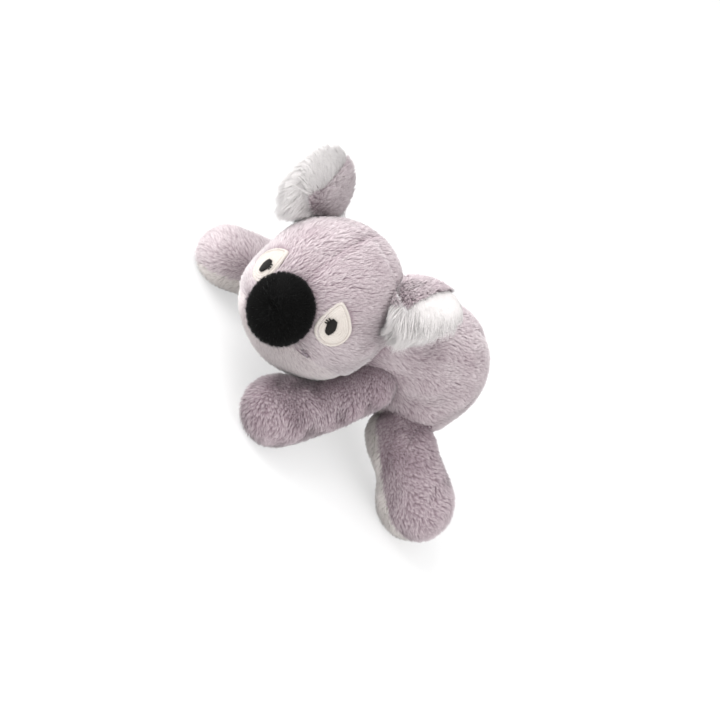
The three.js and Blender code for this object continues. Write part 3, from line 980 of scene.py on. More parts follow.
@dataclass
class Panel:
    """A sewn panel of plush: the solid it stands for, its backing and its pile."""

    OUTER_FACING = 0.45
    PILE_FACING = 0.5
    SOLE = 0.05
    LOWEST = 0.02

    node: str
    body: str
    slot: str
    form: SoftForm
    backing: ClothFinish
    growths: list[Growth]
    longest: float = 1.8
    skin: float = 2.5
    rounds: int = 0
    inner: Callable[[np.ndarray, np.ndarray], np.ndarray] = no_face
    drawn: OfPlaces = lambda places: places

    def soften(self, shape: bmesh.types.BMesh) -> SoftForm:
        """Smooths the panel and draws it in.

        Args:
            shape: The panel's mesh.

        Returns:
            The form that its pile follows.
        """
        for _ in range(self.rounds):
            bmesh.ops.smooth_vert(
                shape, verts=shape.verts, factor=0.5, use_axis_x=True, use_axis_y=True, use_axis_z=True,
            )
        drawn = self.drawn(np.array([vert.co for vert in shape.verts]))
        for vert, place in zip(shape.verts, drawn):
            vert.co = place
        return SoftForm(self.node, shape.copy())

    def lay(self, shape: bmesh.types.BMesh, form: SoftForm) -> np.ndarray:
        """Lays the panel's outer side on a form.

        Args:
            shape: The panel's mesh.
            form: The form that its pile follows.

        Returns:
            The corners of the triangles that carry pile.
        """
        shape.normal_update()
        shape.verts.index_update()
        places = np.array([vert.co for vert in shape.verts])
        facing = np.array([vert.normal for vert in shape.verts])
        near, normals, depth = form.settle(places)
        outer = (np.abs(depth) < self.skin) & ((facing * normals).sum(axis=1) > self.OUTER_FACING)
        for vert, place, moves in zip(shape.verts, near, outer):
            if moves and vert.co.z > self.SOLE:
                vert.co = (place[0], place[1], max(place[2], self.LOWEST))
        bmesh.ops.recalc_face_normals(shape, faces=shape.faces)
        shape.verts.index_update()
        triangles = np.array([[vert.index for vert in face.verts] for face in shape.faces])
        outside = triangles[outer[triangles].all(axis=1)]
        corners = np.array([vert.co for vert in shape.verts])[outside]
        facing = unit(np.cross(corners[:, 1] - corners[:, 0], corners[:, 2] - corners[:, 0]))
        _, normals, _ = form.settle(corners.mean(axis=1))
        seen = (facing * normals).sum(axis=1) > self.PILE_FACING
        return corners[seen & ~self.inner(corners.mean(axis=1), facing)]

    def make(self) -> None:
        """Makes the panel's backing cloth and its pile, and lets them ride on its body."""
        shape = node_shape(self.node, self.longest)
        bmesh.ops.recalc_face_normals(shape, faces=shape.faces)
        form = self.soften(shape) if self.rounds else self.form
        corners = self.lay(shape, form)
        cloth = make_piece(f"{self.node}_cloth", shape, self.backing.material())
        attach(cloth, self.body)
        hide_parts(self.node)
        LOG.info("%s: %d faces", cloth.name, len(cloth.data.polygons))
        for growth in self.growths:
            chosen = corners[growth.where(corners.reshape(-1, 3)).reshape(-1, 3).any(axis=1)]
            fur = PileMaker(growth.pile, growth.brushing, growth.seed).grow(
                f"{self.node}_{growth.suffix}", chosen, form, growth.tone, growth.where,
            )
            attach(fur, self.body)
            LOG.info("%s: %d faces", fur.name, len(fur.data.polygons))


@dataclass(frozen=True)
class SolidFinish:
    """A hard finish: moulded plastic, whose gloss wavers a little, or plated metal with fine brushing."""

    name: str
    colour: str
    metal: bool
    roughness: float
    waver: float
    grain: float

    def material(self) -> bpy.types.Material:
        """Makes or finds the finish."""
        made = bpy.data.materials.get(self.name)
        if made:
            return made
        made = bpy.data.materials.new(self.name)
        made.use_nodes = True
        tree = made.node_tree
        surface = tree.nodes["Principled BSDF"]
        surface.inputs["Base Color"].default_value = linear(self.colour)
        surface.inputs["Metallic"].default_value = 1.0 if self.metal else 0.0
        place = add(tree, "ShaderNodeTexCoord").outputs["Object"]
        cloud = add(
            tree, "ShaderNodeTexNoise",
            {"Vector": place, "Scale": 1 / (self.grain * METRES), "Detail": 4.0},
        )
        gloss = add(
            tree, "ShaderNodeMapRange",
            {"Value": cloud.outputs["Fac"], 3: self.roughness - self.waver, 4: self.roughness + self.waver},
        )
        tree.links.new(gloss.outputs["Result"], surface.inputs["Roughness"])
        return made


NICKEL = SolidFinish("nickel_plated_magnet", "#C9C5BC", metal=True, roughness=0.28, waver=0.06, grain=0.8)
CAPSULE = SolidFinish(
    "clear_white_polypropylene", "#E4E4E0", metal=False, roughness=0.42, waver=0.05, grain=2.5,
)


def finish_rigid() -> None:
    """Gives the magnets and their capsules, which are carried over as packed, their finishes."""
    for node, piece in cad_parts.items():
        finish = NICKEL if "magnet" in node else CAPSULE if "capsule" in node else None
        if finish:
            piece.data.materials.clear()
            piece.data.materials.append(finish.material())


def make_fill(node: str, body: str) -> None:
    """Makes the fibre fill that stands for a packed stuffing.

    Args:
        node: The stuffing's node.
        body: The body it rides on.
    """
    shape = node_shape(node, longest=3.5)
    bmesh.ops.recalc_face_normals(shape, faces=shape.faces)
    fill = make_piece(f"{node}_fibre", shape, FIBRE_FILL.material())
    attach(fill, body)
    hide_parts(node)


# The toy's parts


@dataclass
class Torso:
    """The body, a bag that swells from the neck to the rump."""

    height: float = 36.4
    neck_radius: float = 15.5
    chest_radius: float = 18.0
    rump_radius: float = 21.2
    neck_ahead: float = 7.4
    chest_back: float = 10.6
    rump_back: float = 32.36
    neck_aside: float = 5.0
    chest_aside: float = 4.0
    haunch_swell: float = 6.5
    haunch_spread: float = 11.0
    hip_angle: float = 38.0
    hip_back: float = 30.5
    shoulder_angle: float = 29.5
    shoulder_out: float = 0.4
    lay: Triple = (0.3, 1.0, 0.2)
    least: float = 1.5
    folds: tuple[Fold, ...] = (
        Fold((15.5, 20.0, 21.0), (20.6, 22.4, 30.5), 1.1, 1.3),
        Fold((18.5, 19.8, 24.5), (22.6, 25.5, 31.5), 0.6, 1.0),
    )

    def tone(self, places: np.ndarray) -> np.ndarray:
        """Gives how much paler the pile is, which is less in the folds: painted shade in the creases."""
        return -painted_fold_shade(self.folds, places)

    def beside(self, axis_aside: float, reach: float, drop: float, side: int, back: float) -> Triple:
        """Gives a place beside the body's axis, turned down from the level.

        Args:
            axis_aside: How far aside the axis is.
            reach: Distance from the axis.
            drop: Turn below the level in degrees.
            side: 1 for the left and -1 for the right.
            back: How far back it is.

        Returns:
            The place.
        """
        angle = math.radians(drop)
        return (axis_aside + side * reach * math.cos(angle), back, self.height - reach * math.sin(angle))

    def hip(self, side: int, extra: float) -> Triple:
        """Gives the hip's place, at an extra distance from the rump's surface."""
        return self.beside(0, self.rump_radius + extra, self.hip_angle, side, self.hip_back)

    def shoulder(self, side: int, back: float) -> Triple:
        """Gives a shoulder's place."""
        reach = self.chest_radius + self.shoulder_out
        return self.beside(-self.chest_aside, reach, self.shoulder_angle, side, back)

    def spine(self) -> Spine:
        """Gives the body's spine."""
        return Spine([
            Knot((-self.neck_aside, -self.neck_ahead, self.height), self.neck_radius),
            Knot((-self.chest_aside, self.chest_back, self.height), self.chest_radius),
            Knot((0, self.rump_back, self.height), self.rump_radius),
        ])

    def form(self) -> SoftForm:
        """Makes the body's stuffed form."""
        swells = tuple(Swell(self.hip(side, 0), self.haunch_swell, self.haunch_spread) for side in (1, -1))
        return bag_form("body", self.spine(), swells, around=96, along=72)

    def make(self, form: SoftForm, neighbours: list[SoftForm]) -> None:
        """Makes the body's panels and its fill.

        Args:
            form: The body's form.
            neighbours: The forms that its pile keeps clear of.
        """
        for number, (name, side) in enumerate((("left", 1), ("right", -1))):
            way = np.array(self.lay) * np.array([side, 1, 1])
            lean = Brushing(Comb.TO_RUMP, way, neighbours=neighbours, least=self.least)
            pile = Growth("pile", "lilac_plush", LILAC, lean, seed=11 + number, tone=self.tone)
            Panel(f"body_{name}_panel", "body", "lilac_plush", form, LILAC_CLOTH, [pile]).make()
        under = Brushing(Comb.TO_RUMP, np.array([0.0, 1.0, 0.0]), neighbours=neighbours)
        pile = Growth("pile", "cream_plush", CREAM, under, seed=13)
        Panel("belly_panel", "body", "cream_plush", form, CREAM_CLOTH, [pile]).make()
        make_fill("body_stuffing", "body")


@dataclass
class Limb:
    """An arm or a leg, a bent bag with a flat under its paw."""

    name: str
    side: int
    root: Triple
    root_radius: float
    bow: Triple
    middle_radius: float
    end: Triple
    end_radius: float
    flat_depth: float = 0.8
    pile: Pile = LILAC
    # Paleness at the root and at the paw: painted light, darker near the body's shade and paler towards the
    # lit paw.
    root_painted_light: float = 0.0
    paw_painted_light: float = 0.0
    swells: tuple[Swell, ...] = ()
    folds: tuple[Fold, ...] = ()
    fall: Triple = (0.75, 0.3, -0.65)
    pale_side: Triple | None = None
    pale_from: tuple[float, float] = (0.72, 0.9)
    least: float = 1.5
    hidden_depth: float = 0.8

    def share(self, places: np.ndarray) -> np.ndarray:
        """Gives how far from the root to the paw each place is."""
        root, end = np.array(self.root), np.array(self.end)
        return smoothstep(((places - root) @ (end - root)) / ((end - root) @ (end - root)))

    def tone(self, places: np.ndarray) -> np.ndarray:
        """Gives how much paler the pile is from the root to the paw, painted light that rises towards the
        paw, and how much darker in the folds, painted shade.
        """
        tone = self.root_painted_light + (self.paw_painted_light - self.root_painted_light) * self.share(places)
        return tone - painted_fold_shade(self.folds, places)

    def pale(self, places: np.ndarray) -> np.ndarray:
        """Picks the edge of the outer panel where cream pile from the inner panel folds over."""
        if self.pale_side is None:
            return np.zeros(len(places), dtype=bool)
        aside = unit(places - self.spine().beside(places)) @ unit(np.array(self.pale_side))
        return aside > self.pale_from[0] + (self.pale_from[1] - self.pale_from[0]) * self.share(places)

    def spine(self) -> Spine:
        """Gives the limb's spine, with its end as high as its pad lets it be."""
        root = np.array(self.root)
        end = np.array([self.end[0], self.end[1], self.end_radius - self.flat_depth])
        middle = (root + end) / 2 + np.array(self.bow)
        return Spine([
            Knot(tuple(root), self.root_radius),
            Knot(tuple(middle), self.middle_radius),
            Knot(tuple(end), self.end_radius),
        ])

    def form(self) -> SoftForm:
        """Makes the limb's stuffed form."""
        return bag_form(self.name, self.spine(), self.swells, around=64, along=48)

    def make(self, form: SoftForm, neighbours: list[SoftForm], seed: int) -> None:
        """Makes the limb's panels and its fill.

        Args:
            form: The limb's form.
            neighbours: The forms that its pile keeps clear of.
            seed: The seed of its random draws.
        """
        fall = np.array(self.fall) * np.array([self.side, 1, 1])
        brushing = Brushing(
            Comb.DOWN_LIMB, fall, self.spine(), neighbours=neighbours, least=self.least,
            nearest=-self.hidden_depth,
        )
        growths = [
            Growth(
                "pile", "lilac_plush", self.pile, brushing, seed, lambda places: ~self.pale(places),
                self.tone,
            ),
        ]
        if self.pale_side is not None:
            growths.append(Growth("edge_pile", "cream_plush", CREAM, brushing, seed + 2, self.pale))
        Panel(f"{self.name}_outer_panel", self.name, "lilac_plush", form, LILAC_CLOTH, growths).make()
        pile = Growth("pile", "cream_plush", CREAM, brushing, seed + 1)
        Panel(f"{self.name}_inner_panel", self.name, "cream_plush", form, CREAM_CLOTH, [pile]).make()
        make_fill(f"{self.name}_stuffing", self.name)


@dataclass
class Head:
    """The head, a ball turned to its left and tipped, with full cheeks and flat temples."""

    radius: float = 25.2
    half_height: float = 24.3
    centre: Triple = (-6.1, -20.4, 37.6)
    turn: float = 29.5
    tip: float = -16.0
    nod: float = 2.0
    swells: tuple[tuple[Triple, float], ...] = (
        ((0.7, -0.47, -0.54), 1.5), ((-0.7, -0.47, -0.54), 1.5), ((0.96, -0.23, 0.14), -2.4),
        ((-0.96, -0.23, 0.14), -2.4), ((0.09, 0.45, 0.89), 1.4), ((0.0, -0.44, -0.9), 2.0),
    )
    spread: float = 28.0
    nose_radii: Triple = (10.2, 7.4, 11.2)
    nose_ahead: float = 3.3
    pinch_shares: Triple = (-0.156, -0.982, 0.105)
    pinch_spread: float = 14.0
    pinch_depth: float = 1.8
    # Paleness towards the chin: partly the lower face's own paler colour, partly painted light under the
    # head.
    chin_pale_and_lit: float = 0.85
    nap: Triple = (1.75, 1.2, 1.35)
    chin_way: Triple = (0.0, -0.35, -0.94)
    chin_fade: tuple[float, float] = (0.15, 0.75)
    seam_depth: float = 0.95
    seam_width: float = 1.5
    # How much the pile darkens on the brow seam: painted shade in its groove.
    seam_painted_shade: float = 0.5
    seam_lowest: float = -0.1
    seam_hindmost: float = 0.5
    seam_fade: float = 0.3
    hidden_depth: float = 3.0
    least_behind: float = 1.0
    ear_shares: Triple = (0.67, 0.2, 0.715)

    def matrix(self) -> Matrix:
        """Gives the head's place and turn."""
        turns = Euler((math.radians(self.nod), math.radians(self.tip), math.radians(self.turn)), "XYZ")
        return Matrix.Translation(self.centre) @ turns.to_matrix().to_4x4()

    def place(self, points: np.ndarray) -> np.ndarray:
        """Takes points from the head's own frame to the toy's."""
        turned = np.array(self.matrix())
        return points @ turned[:3, :3].T + turned[:3, 3]

    def turned(self, vector: Triple) -> np.ndarray:
        """Takes a direction from the head's own frame to the toy's."""
        return np.array(self.matrix())[:3, :3] @ np.array(vector)

    def surface(self, directions: np.ndarray) -> np.ndarray:
        """Gives the head's surface, in its own frame, along unit directions."""
        points = directions * np.array([self.radius, self.radius, self.half_height])
        for towards, height in self.swells:
            offset = angles_from(towards, directions) / math.radians(self.spread)
            points = points + directions * (height * np.exp(-offset * offset))[:, None]
        return points

    def form(self) -> SoftForm:
        """Makes the head's stuffed form."""
        shape = globe(around=96, along=64)
        ball = unit(np.array([vert.co for vert in shape.verts]))
        points = self.surface(ball)
        points -= ball * (self.seam_depth * self.seam(points))[:, None]
        for vert, point in zip(shape.verts, self.place(points)):
            vert.co = point
        return SoftForm("head", shape)

    def seam(self, points: np.ndarray) -> np.ndarray:
        """Gives 1 on the seam from the nose over the brow to the crown, and 0 away from it.

        Args:
            points: Points in the head's own frame.

        Returns:
            A value from 0 to 1 for each point.
        """
        towards = unit(points)
        above = smoothstep((towards[:, 2] - self.seam_lowest) / self.seam_fade)
        ahead = smoothstep((self.seam_hindmost - towards[:, 1]) / self.seam_fade)
        return above * ahead * np.exp(-((points[:, 0] / self.seam_width) ** 2))

    def nose_form(self) -> SoftForm:
        """Makes the nose's stuffed form."""
        shape = globe(around=56, along=40)
        ball = np.array([vert.co for vert in shape.verts])
        off = angles_from(self.pinch_shares, unit(ball)) / math.radians(self.pinch_spread)
        dip = self.pinch_depth * np.exp(-off * off)
        radii = np.array(self.nose_radii) - dip[:, None]
        points = ball * radii + np.array([0, -self.radius - self.nose_ahead, 0])
        for vert, point in zip(shape.verts, self.place(points)):
            vert.co = point
        return SoftForm("nose", shape)

    def tone(self, places: np.ndarray) -> np.ndarray:
        """Gives how much paler the pile is towards the chin and cheeks, partly their own paler colour and
        partly painted light on the shaded underside, and how much darker on the brow seam, painted shade in
        its crease.
        """
        turned = np.array(self.matrix())
        points = (places - turned[:3, 3]) @ turned[:3, :3]
        down = unit(points) @ np.array(self.chin_way)
        chin = smoothstep((down + self.chin_fade[0]) / self.chin_fade[1])
        return self.chin_pale_and_lit * chin - self.seam_painted_shade * self.seam(points)

    def make(self, form: SoftForm, nose: SoftForm, neighbours: list[SoftForm]) -> None:
        """Makes the head's panels, the nose and the fills.

        Args:
            form: The head's form.
            nose: The nose's form.
            neighbours: The forms that the head's pile keeps clear of.
        """
        tip = self.place(np.array([[0, -self.radius, 0]]))[0]
        bare = []
        for side in (1, -1):
            bare += Eye(side).make(self, form) + Mouth(side).make(self, form)
        brushing = Brushing(
            Comb.FROM_NOSE, self.turned(self.nap), origin=tip, neighbours=[*neighbours, nose], bare=bare,
        )
        behind = replace(brushing, nearest=-self.hidden_depth, least=self.least_behind)
        for number, (node, pile, brushed) in enumerate((
            ("head_left_panel", HEAD_LILAC, brushing), ("head_right_panel", HEAD_LILAC, brushing),
            ("head_back_panel", HEAD_LILAC, behind), ("chin_panel", SHORT_LILAC, brushing),
        )):
            grown = Growth("pile", "lilac_plush", pile, brushed, seed=21 + number, tone=self.tone)
            Panel(node, "head", "lilac_plush", form, LILAC_CLOTH, [grown]).make()
        centre = self.place(np.array([[0, -self.radius - self.nose_ahead, 0]]))[0]
        outward = Brushing(Comb.OUTWARD, self.turned((0, 0.5, 0)), origin=centre, neighbours=[form])
        grown = Growth("pile", "black_plush", BLACK, outward, seed=26)
        Panel("nose_cover", "head", "black_plush", nose, BLACK_CLOTH, [grown], longest=1.2, skin=2.6).make()
        make_fill("head_stuffing", "head")
        make_fill("nose_stuffing", "head")


@dataclass(frozen=True)
class Outline:
    """A flat outline, round below and drawn to a point above where it has one."""

    half_width: float
    half_height: float
    point: float = 0.0
    shoulder: tuple[float, float] = (0.707, 0.99)
    tip_round: float = 1.3

    def rim(self, count: int = 720) -> np.ndarray:
        """Gives points round the outline, which start beside its middle and rise."""
        turns = np.linspace(0, 2 * np.pi, count, endpoint=False)
        round_rim = np.stack([self.half_width * np.cos(turns), self.half_height * np.sin(turns)], axis=1)
        if not self.point:
            return round_rim
        share = np.linspace(0, 1, count // 4)[:, None]
        side = np.array([self.half_width, 0.0])
        bend = np.array([self.half_width * self.shoulder[0], self.half_width * self.shoulder[1]])
        tip = np.array([0.0, self.point])
        right = (1 - share) ** 2 * side + 2 * share * (1 - share) * bend + share**2 * tip
        left = right[::-1] * np.array([-1.0, 1.0])
        rough = np.vstack([right, left, round_rim[count // 2:]])
        steps = np.linalg.norm(rough - np.roll(rough, 1, axis=0), axis=1)
        travel = np.cumsum(steps)
        even = np.linspace(0, travel[-1], count, endpoint=False)
        rim = np.stack([np.interp(even, travel, line, period=travel[-1]) for line in rough.T], axis=1)
        window = int(self.tip_round / travel[-1] * count)
        return sum(np.roll(rim, shift, axis=0) for shift in range(-window, window + 1)) / (2 * window + 1)

    def reach(self, angles: np.ndarray) -> np.ndarray:
        """Gives how far the outline is from its middle at each angle."""
        rim = self.rim()
        around = np.arctan2(rim[:, 1], rim[:, 0])
        order = np.argsort(around)
        return np.interp(angles, around[order], np.linalg.norm(rim, axis=1)[order], period=2 * np.pi)


@dataclass
class FacePiece:
    """A small sewn piece that lies on the head, in a flat frame of its own."""

    ROLL_SHARE = 0.9
    RING_INSET = 1.15
    RING_WIDTH = 0.24
    RIDGES_INSET = 1.5
    RIDGE_PITCH = 0.8
    RIDGE_SHARE = 0.4

    head: Head
    form: SoftForm
    shares: Triple
    tilt: float
    side: int

    def towards(self) -> np.ndarray:
        """Gives the direction, in the head's frame, in which it looks."""
        return unit(np.array(self.shares) * np.array([self.side, 1, 1]))

    def centre(self) -> np.ndarray:
        """Gives its middle on the head's surface."""
        return self.head.place(self.head.surface(self.towards()[None]))[0]

    def lay(self, flat: np.ndarray, heights: np.ndarray) -> np.ndarray:
        """Lays points of its flat frame on the head.

        Args:
            flat: Places aside and up in millimetres, turned by the piece's tilt.
            heights: Heights over the head.

        Returns:
            The points in the toy's frame.
        """
        towards = self.towards()
        across = unit(np.cross(np.array([0.0, 0.0, 1.0]), towards))
        along = np.cross(towards, across)
        turn = math.radians(self.tilt) * self.side
        aside = flat[:, 0] * math.cos(turn) - flat[:, 1] * math.sin(turn)
        up = flat[:, 0] * math.sin(turn) + flat[:, 1] * math.cos(turn)
        start = across * aside[:, None] + along * up[:, None]
        reach = np.sqrt(np.maximum(self.head.radius**2 - aside**2 - up**2, 0))
        guess = self.head.place(start + towards * reach[:, None])
        places, normals, _ = self.form.settle(guess)
        return places + normals * heights[:, None]

    def show(self, name: str, node: str, shape: bmesh.types.BMesh, finish: ClothFinish) -> None:
        """Makes the piece's object, which rides on the head in its node's stead."""
        bmesh.ops.recalc_face_normals(shape, faces=shape.faces)
        piece = make_piece(name, shape, finish.material())
        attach(piece, "head")
        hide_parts(node)
        LOG.info("%s: %d faces", name, len(piece.data.polygons))

    def sheet(
        self, outline: Outline, base: float, thickness: float, groove: float, around: int, along: int
    ) -> bmesh.types.BMesh:
        """Makes a soft sheet with a rolled rim and rings of pressed-in stitches.

        Args:
            outline: Its outline.
            base: Its height over the head.
            thickness: Its thickness.
            groove: Depth of the stitched rings.
            around: Divisions round it.
            along: Divisions from its face to its back.

        Returns:
            The sheet.
        """
        shape = globe(around, along)
        ball = np.array([vert.co for vert in shape.verts])
        angles = np.arctan2(ball[:, 1], ball[:, 0])
        polar = np.arccos(np.clip(ball[:, 2], -1, 1)) / (np.pi / 2)
        shares = np.sin(np.minimum(polar, 2 - polar) * np.pi / 2)
        reach = outline.reach(angles)
        inset = reach * (1 - shares)
        roll = np.clip(inset / (self.ROLL_SHARE * thickness), 0, 1)
        crown = thickness * np.sqrt(1 - (1 - roll) ** 2)
        if groove:
            crown -= groove * np.exp(-(((inset - self.RING_INSET) / self.RING_WIDTH) ** 2))
            inner = np.where(inset > self.RIDGES_INSET, 1.0, 0.0)
            ridges = 0.5 - 0.5 * np.cos(2 * np.pi * (inset - self.RIDGES_INSET) / self.RIDGE_PITCH)
            crown -= self.RIDGE_SHARE * groove * inner * ridges
        heights = np.where(polar <= 1, base + crown, base)
        flat = np.stack([np.cos(angles), np.sin(angles)], axis=1) * (reach * shares)[:, None]
        for vert, point in zip(shape.verts, self.lay(flat, heights)):
            vert.co = point
        return shape


class Thread:
    """Stitches of thread, each a bent bead that dips at both ends."""

    DIP = 0.35
    RAGGED = (-0.08, 0.12)

    def __init__(self, piece: FacePiece, width: float, height: float) -> None:
        """Keeps the piece that carries the stitches and the thread's size.

        Args:
            piece: The piece on whose flat frame they lie.
            width: The thread's width.
            height: The height of its top over the head.
        """
        self.piece = piece
        self.width = width
        self.height = height

    def stitch(self, shape: bmesh.types.BMesh, start: tuple[float, float], end: tuple[float, float]) -> None:
        """Adds one stitch to a mesh.

        Args:
            shape: The mesh.
            start: Where it starts in the flat frame.
            end: Where it ends.
        """
        bead = bmesh.ops.create_uvsphere(shape, u_segments=8, v_segments=9, radius=1)["verts"]
        ball = np.array([vert.co for vert in bead])
        first, last = np.array(start), np.array(end)
        run = last - first
        length = np.linalg.norm(run)
        across = np.array([-run[1], run[0]]) / length
        share = np.arccos(np.clip(ball[:, 2], -1, 1)) / np.pi
        thick = np.sqrt(np.clip(1 - np.abs(2 * share - 1) ** 4, 0, 1))
        ring = np.hypot(ball[:, 0], ball[:, 1])
        sideways, upward = (ball[:, axis] / np.maximum(ring, 1e-6) * thick * (ring > 1e-6) for axis in (0, 1))
        flat = first + run * share[:, None] + across * (sideways * self.width / 2)[:, None]
        arch = 1 - (2 * share - 1) ** 4
        heights = self.height - 0.5 * self.width * (1 - upward) - self.DIP * (1 - arch)
        for vert, point in zip(bead, self.piece.lay(flat, heights)):
            vert.co = point

    def satin(
        self, shape: bmesh.types.BMesh, outline: Outline, pitch: float, slant: float,
        rng: np.random.Generator,
    ) -> None:
        """Fills an outline with stitches that lie side by side.

        Args:
            shape: The mesh.
            outline: The outline.
            pitch: Distance from one stitch to the next.
            slant: Turn of the stitches in degrees.
            rng: Random draws for their ragged ends.
        """
        turn = math.radians(slant)
        along = np.array([math.cos(turn), math.sin(turn)])
        across = np.array([-math.sin(turn), math.cos(turn)])
        rim = outline.rim()
        ways, asides = rim @ along, rim @ across
        for aside in np.arange(asides.min() + pitch / 2, asides.max(), pitch):
            near = np.abs(asides - aside) < pitch / 3
            low, high = ways[near].min(), ways[near].max()
            if high - low < pitch:
                continue
            start = low - rng.uniform(*self.RAGGED)
            end = high + rng.uniform(*self.RAGGED)
            self.stitch(shape, tuple(along * start + across * aside), tuple(along * end + across * aside))


@dataclass(frozen=True)
class HandStitches:
    """A row of short hand stitches that closes a hip, sunk in the pile."""

    start: Triple
    end: Triple
    count: int = 6
    length: float = 1.4
    width: float = 0.5
    top: float = 1.6
    dip: float = 0.6
    slant: tuple[float, float] = (-0.1, 0.4)
    stray: float = 0.2
    seed: int = 9

    def places(self, form: SoftForm) -> tuple[np.ndarray, np.ndarray]:
        """Gives the stitches' middles on a form, and its normals there."""
        shares = np.linspace(0, 1, self.count)[:, None]
        line = np.array(self.start) * (1 - shares) + np.array(self.end) * shares
        places, normals, _ = form.settle(line)
        return places, normals

    def make(self, name: str, body: str, form: SoftForm) -> None:
        """Makes the stitches as one piece.

        Args:
            name: Its name.
            body: The body it rides on.
            form: The form that it is sewn through.
        """
        shape = bmesh.new()
        run = unit(np.array(self.end) - np.array(self.start))
        rng = np.random.default_rng(self.seed)
        for place, normal in zip(*self.places(form)):
            along = unit(np.cross(normal, run) + run * rng.uniform(*self.slant))
            aside = np.cross(normal, along)
            place = place + rng.normal(0, self.stray, 3)
            bead = bmesh.ops.create_uvsphere(shape, u_segments=8, v_segments=9, radius=0.5)["verts"]
            ball = np.array([vert.co for vert in bead])
            arch = normal[None] * (self.top - self.dip * (2 * ball[:, 2:3]) ** 2)
            across = ball[:, 0:1] * aside * self.width + ball[:, 1:2] * normal * self.width
            spread = across + ball[:, 2:3] * along * self.length
            for vert, point in zip(bead, place + spread + arch):
                vert.co = point
        piece = make_piece(name, shape, HIP_THREAD.material())
        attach(piece, body)
        LOG.info("%s: %d faces", name, len(piece.data.polygons))


@dataclass
class Eye:
    """An eye: a velour patch with an embroidered pupil and the end of a lash."""

    side: int
    patch_shares: Triple = (0.598, -0.789, 0.146)
    patch_tilt: float = 15.0
    patch: Outline = Outline(6.1, 6.1, 9.2)
    patch_base: float = 0.3
    patch_thickness: float = 0.8
    patch_groove: float = 0.42
    pupil_shares: Triple = (0.552, -0.818, 0.161)
    pupil_tilt: float = 14.0
    pupil: Outline = Outline(1.65, 2.6)
    pupil_sunk: float = 0.1
    pupil_thickness: float = 0.45
    pupil_share: float = 0.9
    pupil_top: float = 1.75
    thread_width: float = 0.44
    thread_pitch: float = 0.36
    thread_slant: float = -32.0
    seed: int = 5
    lash: tuple[tuple[float, float, float, float], ...] = (
        (-0.9, 1.4, -2.3, 1.9), (-1.1, 0.9, -2.5, 1.1), (-0.6, 1.9, -1.7, 2.6),
    )
    clear: tuple[tuple[float, float], ...] = ((0.0, 5.7), (3.0, 4.7), (5.0, 3.1), (6.6, 1.9))
    ring_count: int = 48
    ring_share: float = 0.55
    ring_clear: float = 2.2

    def make(self, head: Head, form: SoftForm) -> list[tuple[np.ndarray, float]]:
        """Makes the eye's pieces.

        Args:
            head: The head.
            form: Its form.

        Returns:
            The places, with a radius for each, that pile keeps clear of.
        """
        name = "left" if self.side == 1 else "right"
        patch = FacePiece(head, form, self.patch_shares, self.patch_tilt, self.side)
        sheet = patch.sheet(
            self.patch, self.patch_base, self.patch_thickness, self.patch_groove, around=144, along=96,
        )
        patch.show(f"{name}_eye_velour", f"{name}_eye_patch", sheet, VELOUR)
        pupil = FacePiece(head, form, self.pupil_shares, self.pupil_tilt, self.side)
        thread = Thread(pupil, self.thread_width, self.pupil_top)
        base = Outline(self.pupil_share * self.pupil.half_width, self.pupil_share * self.pupil.half_height)
        height = self.patch_base + self.patch_thickness - self.pupil_sunk
        shape = pupil.sheet(base, height, self.pupil_thickness, groove=0.0, around=40, along=12)
        rng = np.random.default_rng(self.seed)
        thread.satin(shape, self.pupil, self.thread_pitch, self.thread_slant * self.side, rng)
        lash = np.array(self.lash).reshape(-1, 2, 2) * np.array([self.side, 1])
        for start, end in lash:
            thread.stitch(shape, tuple(start), tuple(end))
        pupil.show(f"{name}_pupil_thread", f"{name}_pupil", shape, BLACK_THREAD)
        ring = patch.lay(self.patch.rim(self.ring_count) * self.ring_share, np.zeros(self.ring_count))
        middle = patch.lay(np.array([[0, up] for up, _ in self.clear]), np.zeros(len(self.clear)))
        clear = [(place, radius) for place, (_, radius) in zip(middle, self.clear)]
        return clear + [(place, self.ring_clear) for place in ring]


@dataclass
class Mouth:
    """One end of the mouth, a few short stitches half sunk in the pile."""

    side: int
    shares: Triple = (0.494, -0.815, -0.328)
    tilt: float = 65.0
    width: float = 0.75
    top: float = 1.35
    clear: float = 0.75
    stitches: tuple[tuple[float, float, float, float], ...] = (
        (0.15, 1.7, -0.05, 0.4), (-0.3, 0.9, 0.0, -0.5), (0.3, 0.2, 0.2, -1.0), (0.0, -0.4, -0.15, -1.7),
    )

    def make(self, head: Head, form: SoftForm) -> list[tuple[np.ndarray, float]]:
        """Makes the stitches.

        Args:
            head: The head.
            form: Its form.

        Returns:
            The places, with a radius for each, that pile keeps clear of.
        """
        name = "left" if self.side == 1 else "right"
        spot = FacePiece(head, form, self.shares, self.tilt, self.side)
        thread = Thread(spot, self.width, self.top)
        shape = bmesh.new()
        for stitch in self.stitches:
            aside = np.array([self.side, 1, self.side, 1]) * np.array(stitch)
            thread.stitch(shape, tuple(aside[:2]), tuple(aside[2:]))
        spot.show(f"{name}_mouth_thread", f"{name}_mouth_stitch", shape, MOUTH_THREAD)
        flat = np.array([[0, 1.0], [0, 0], [0, -1.0]])
        return [(place, self.clear) for place in spot.lay(flat, np.zeros(3))]


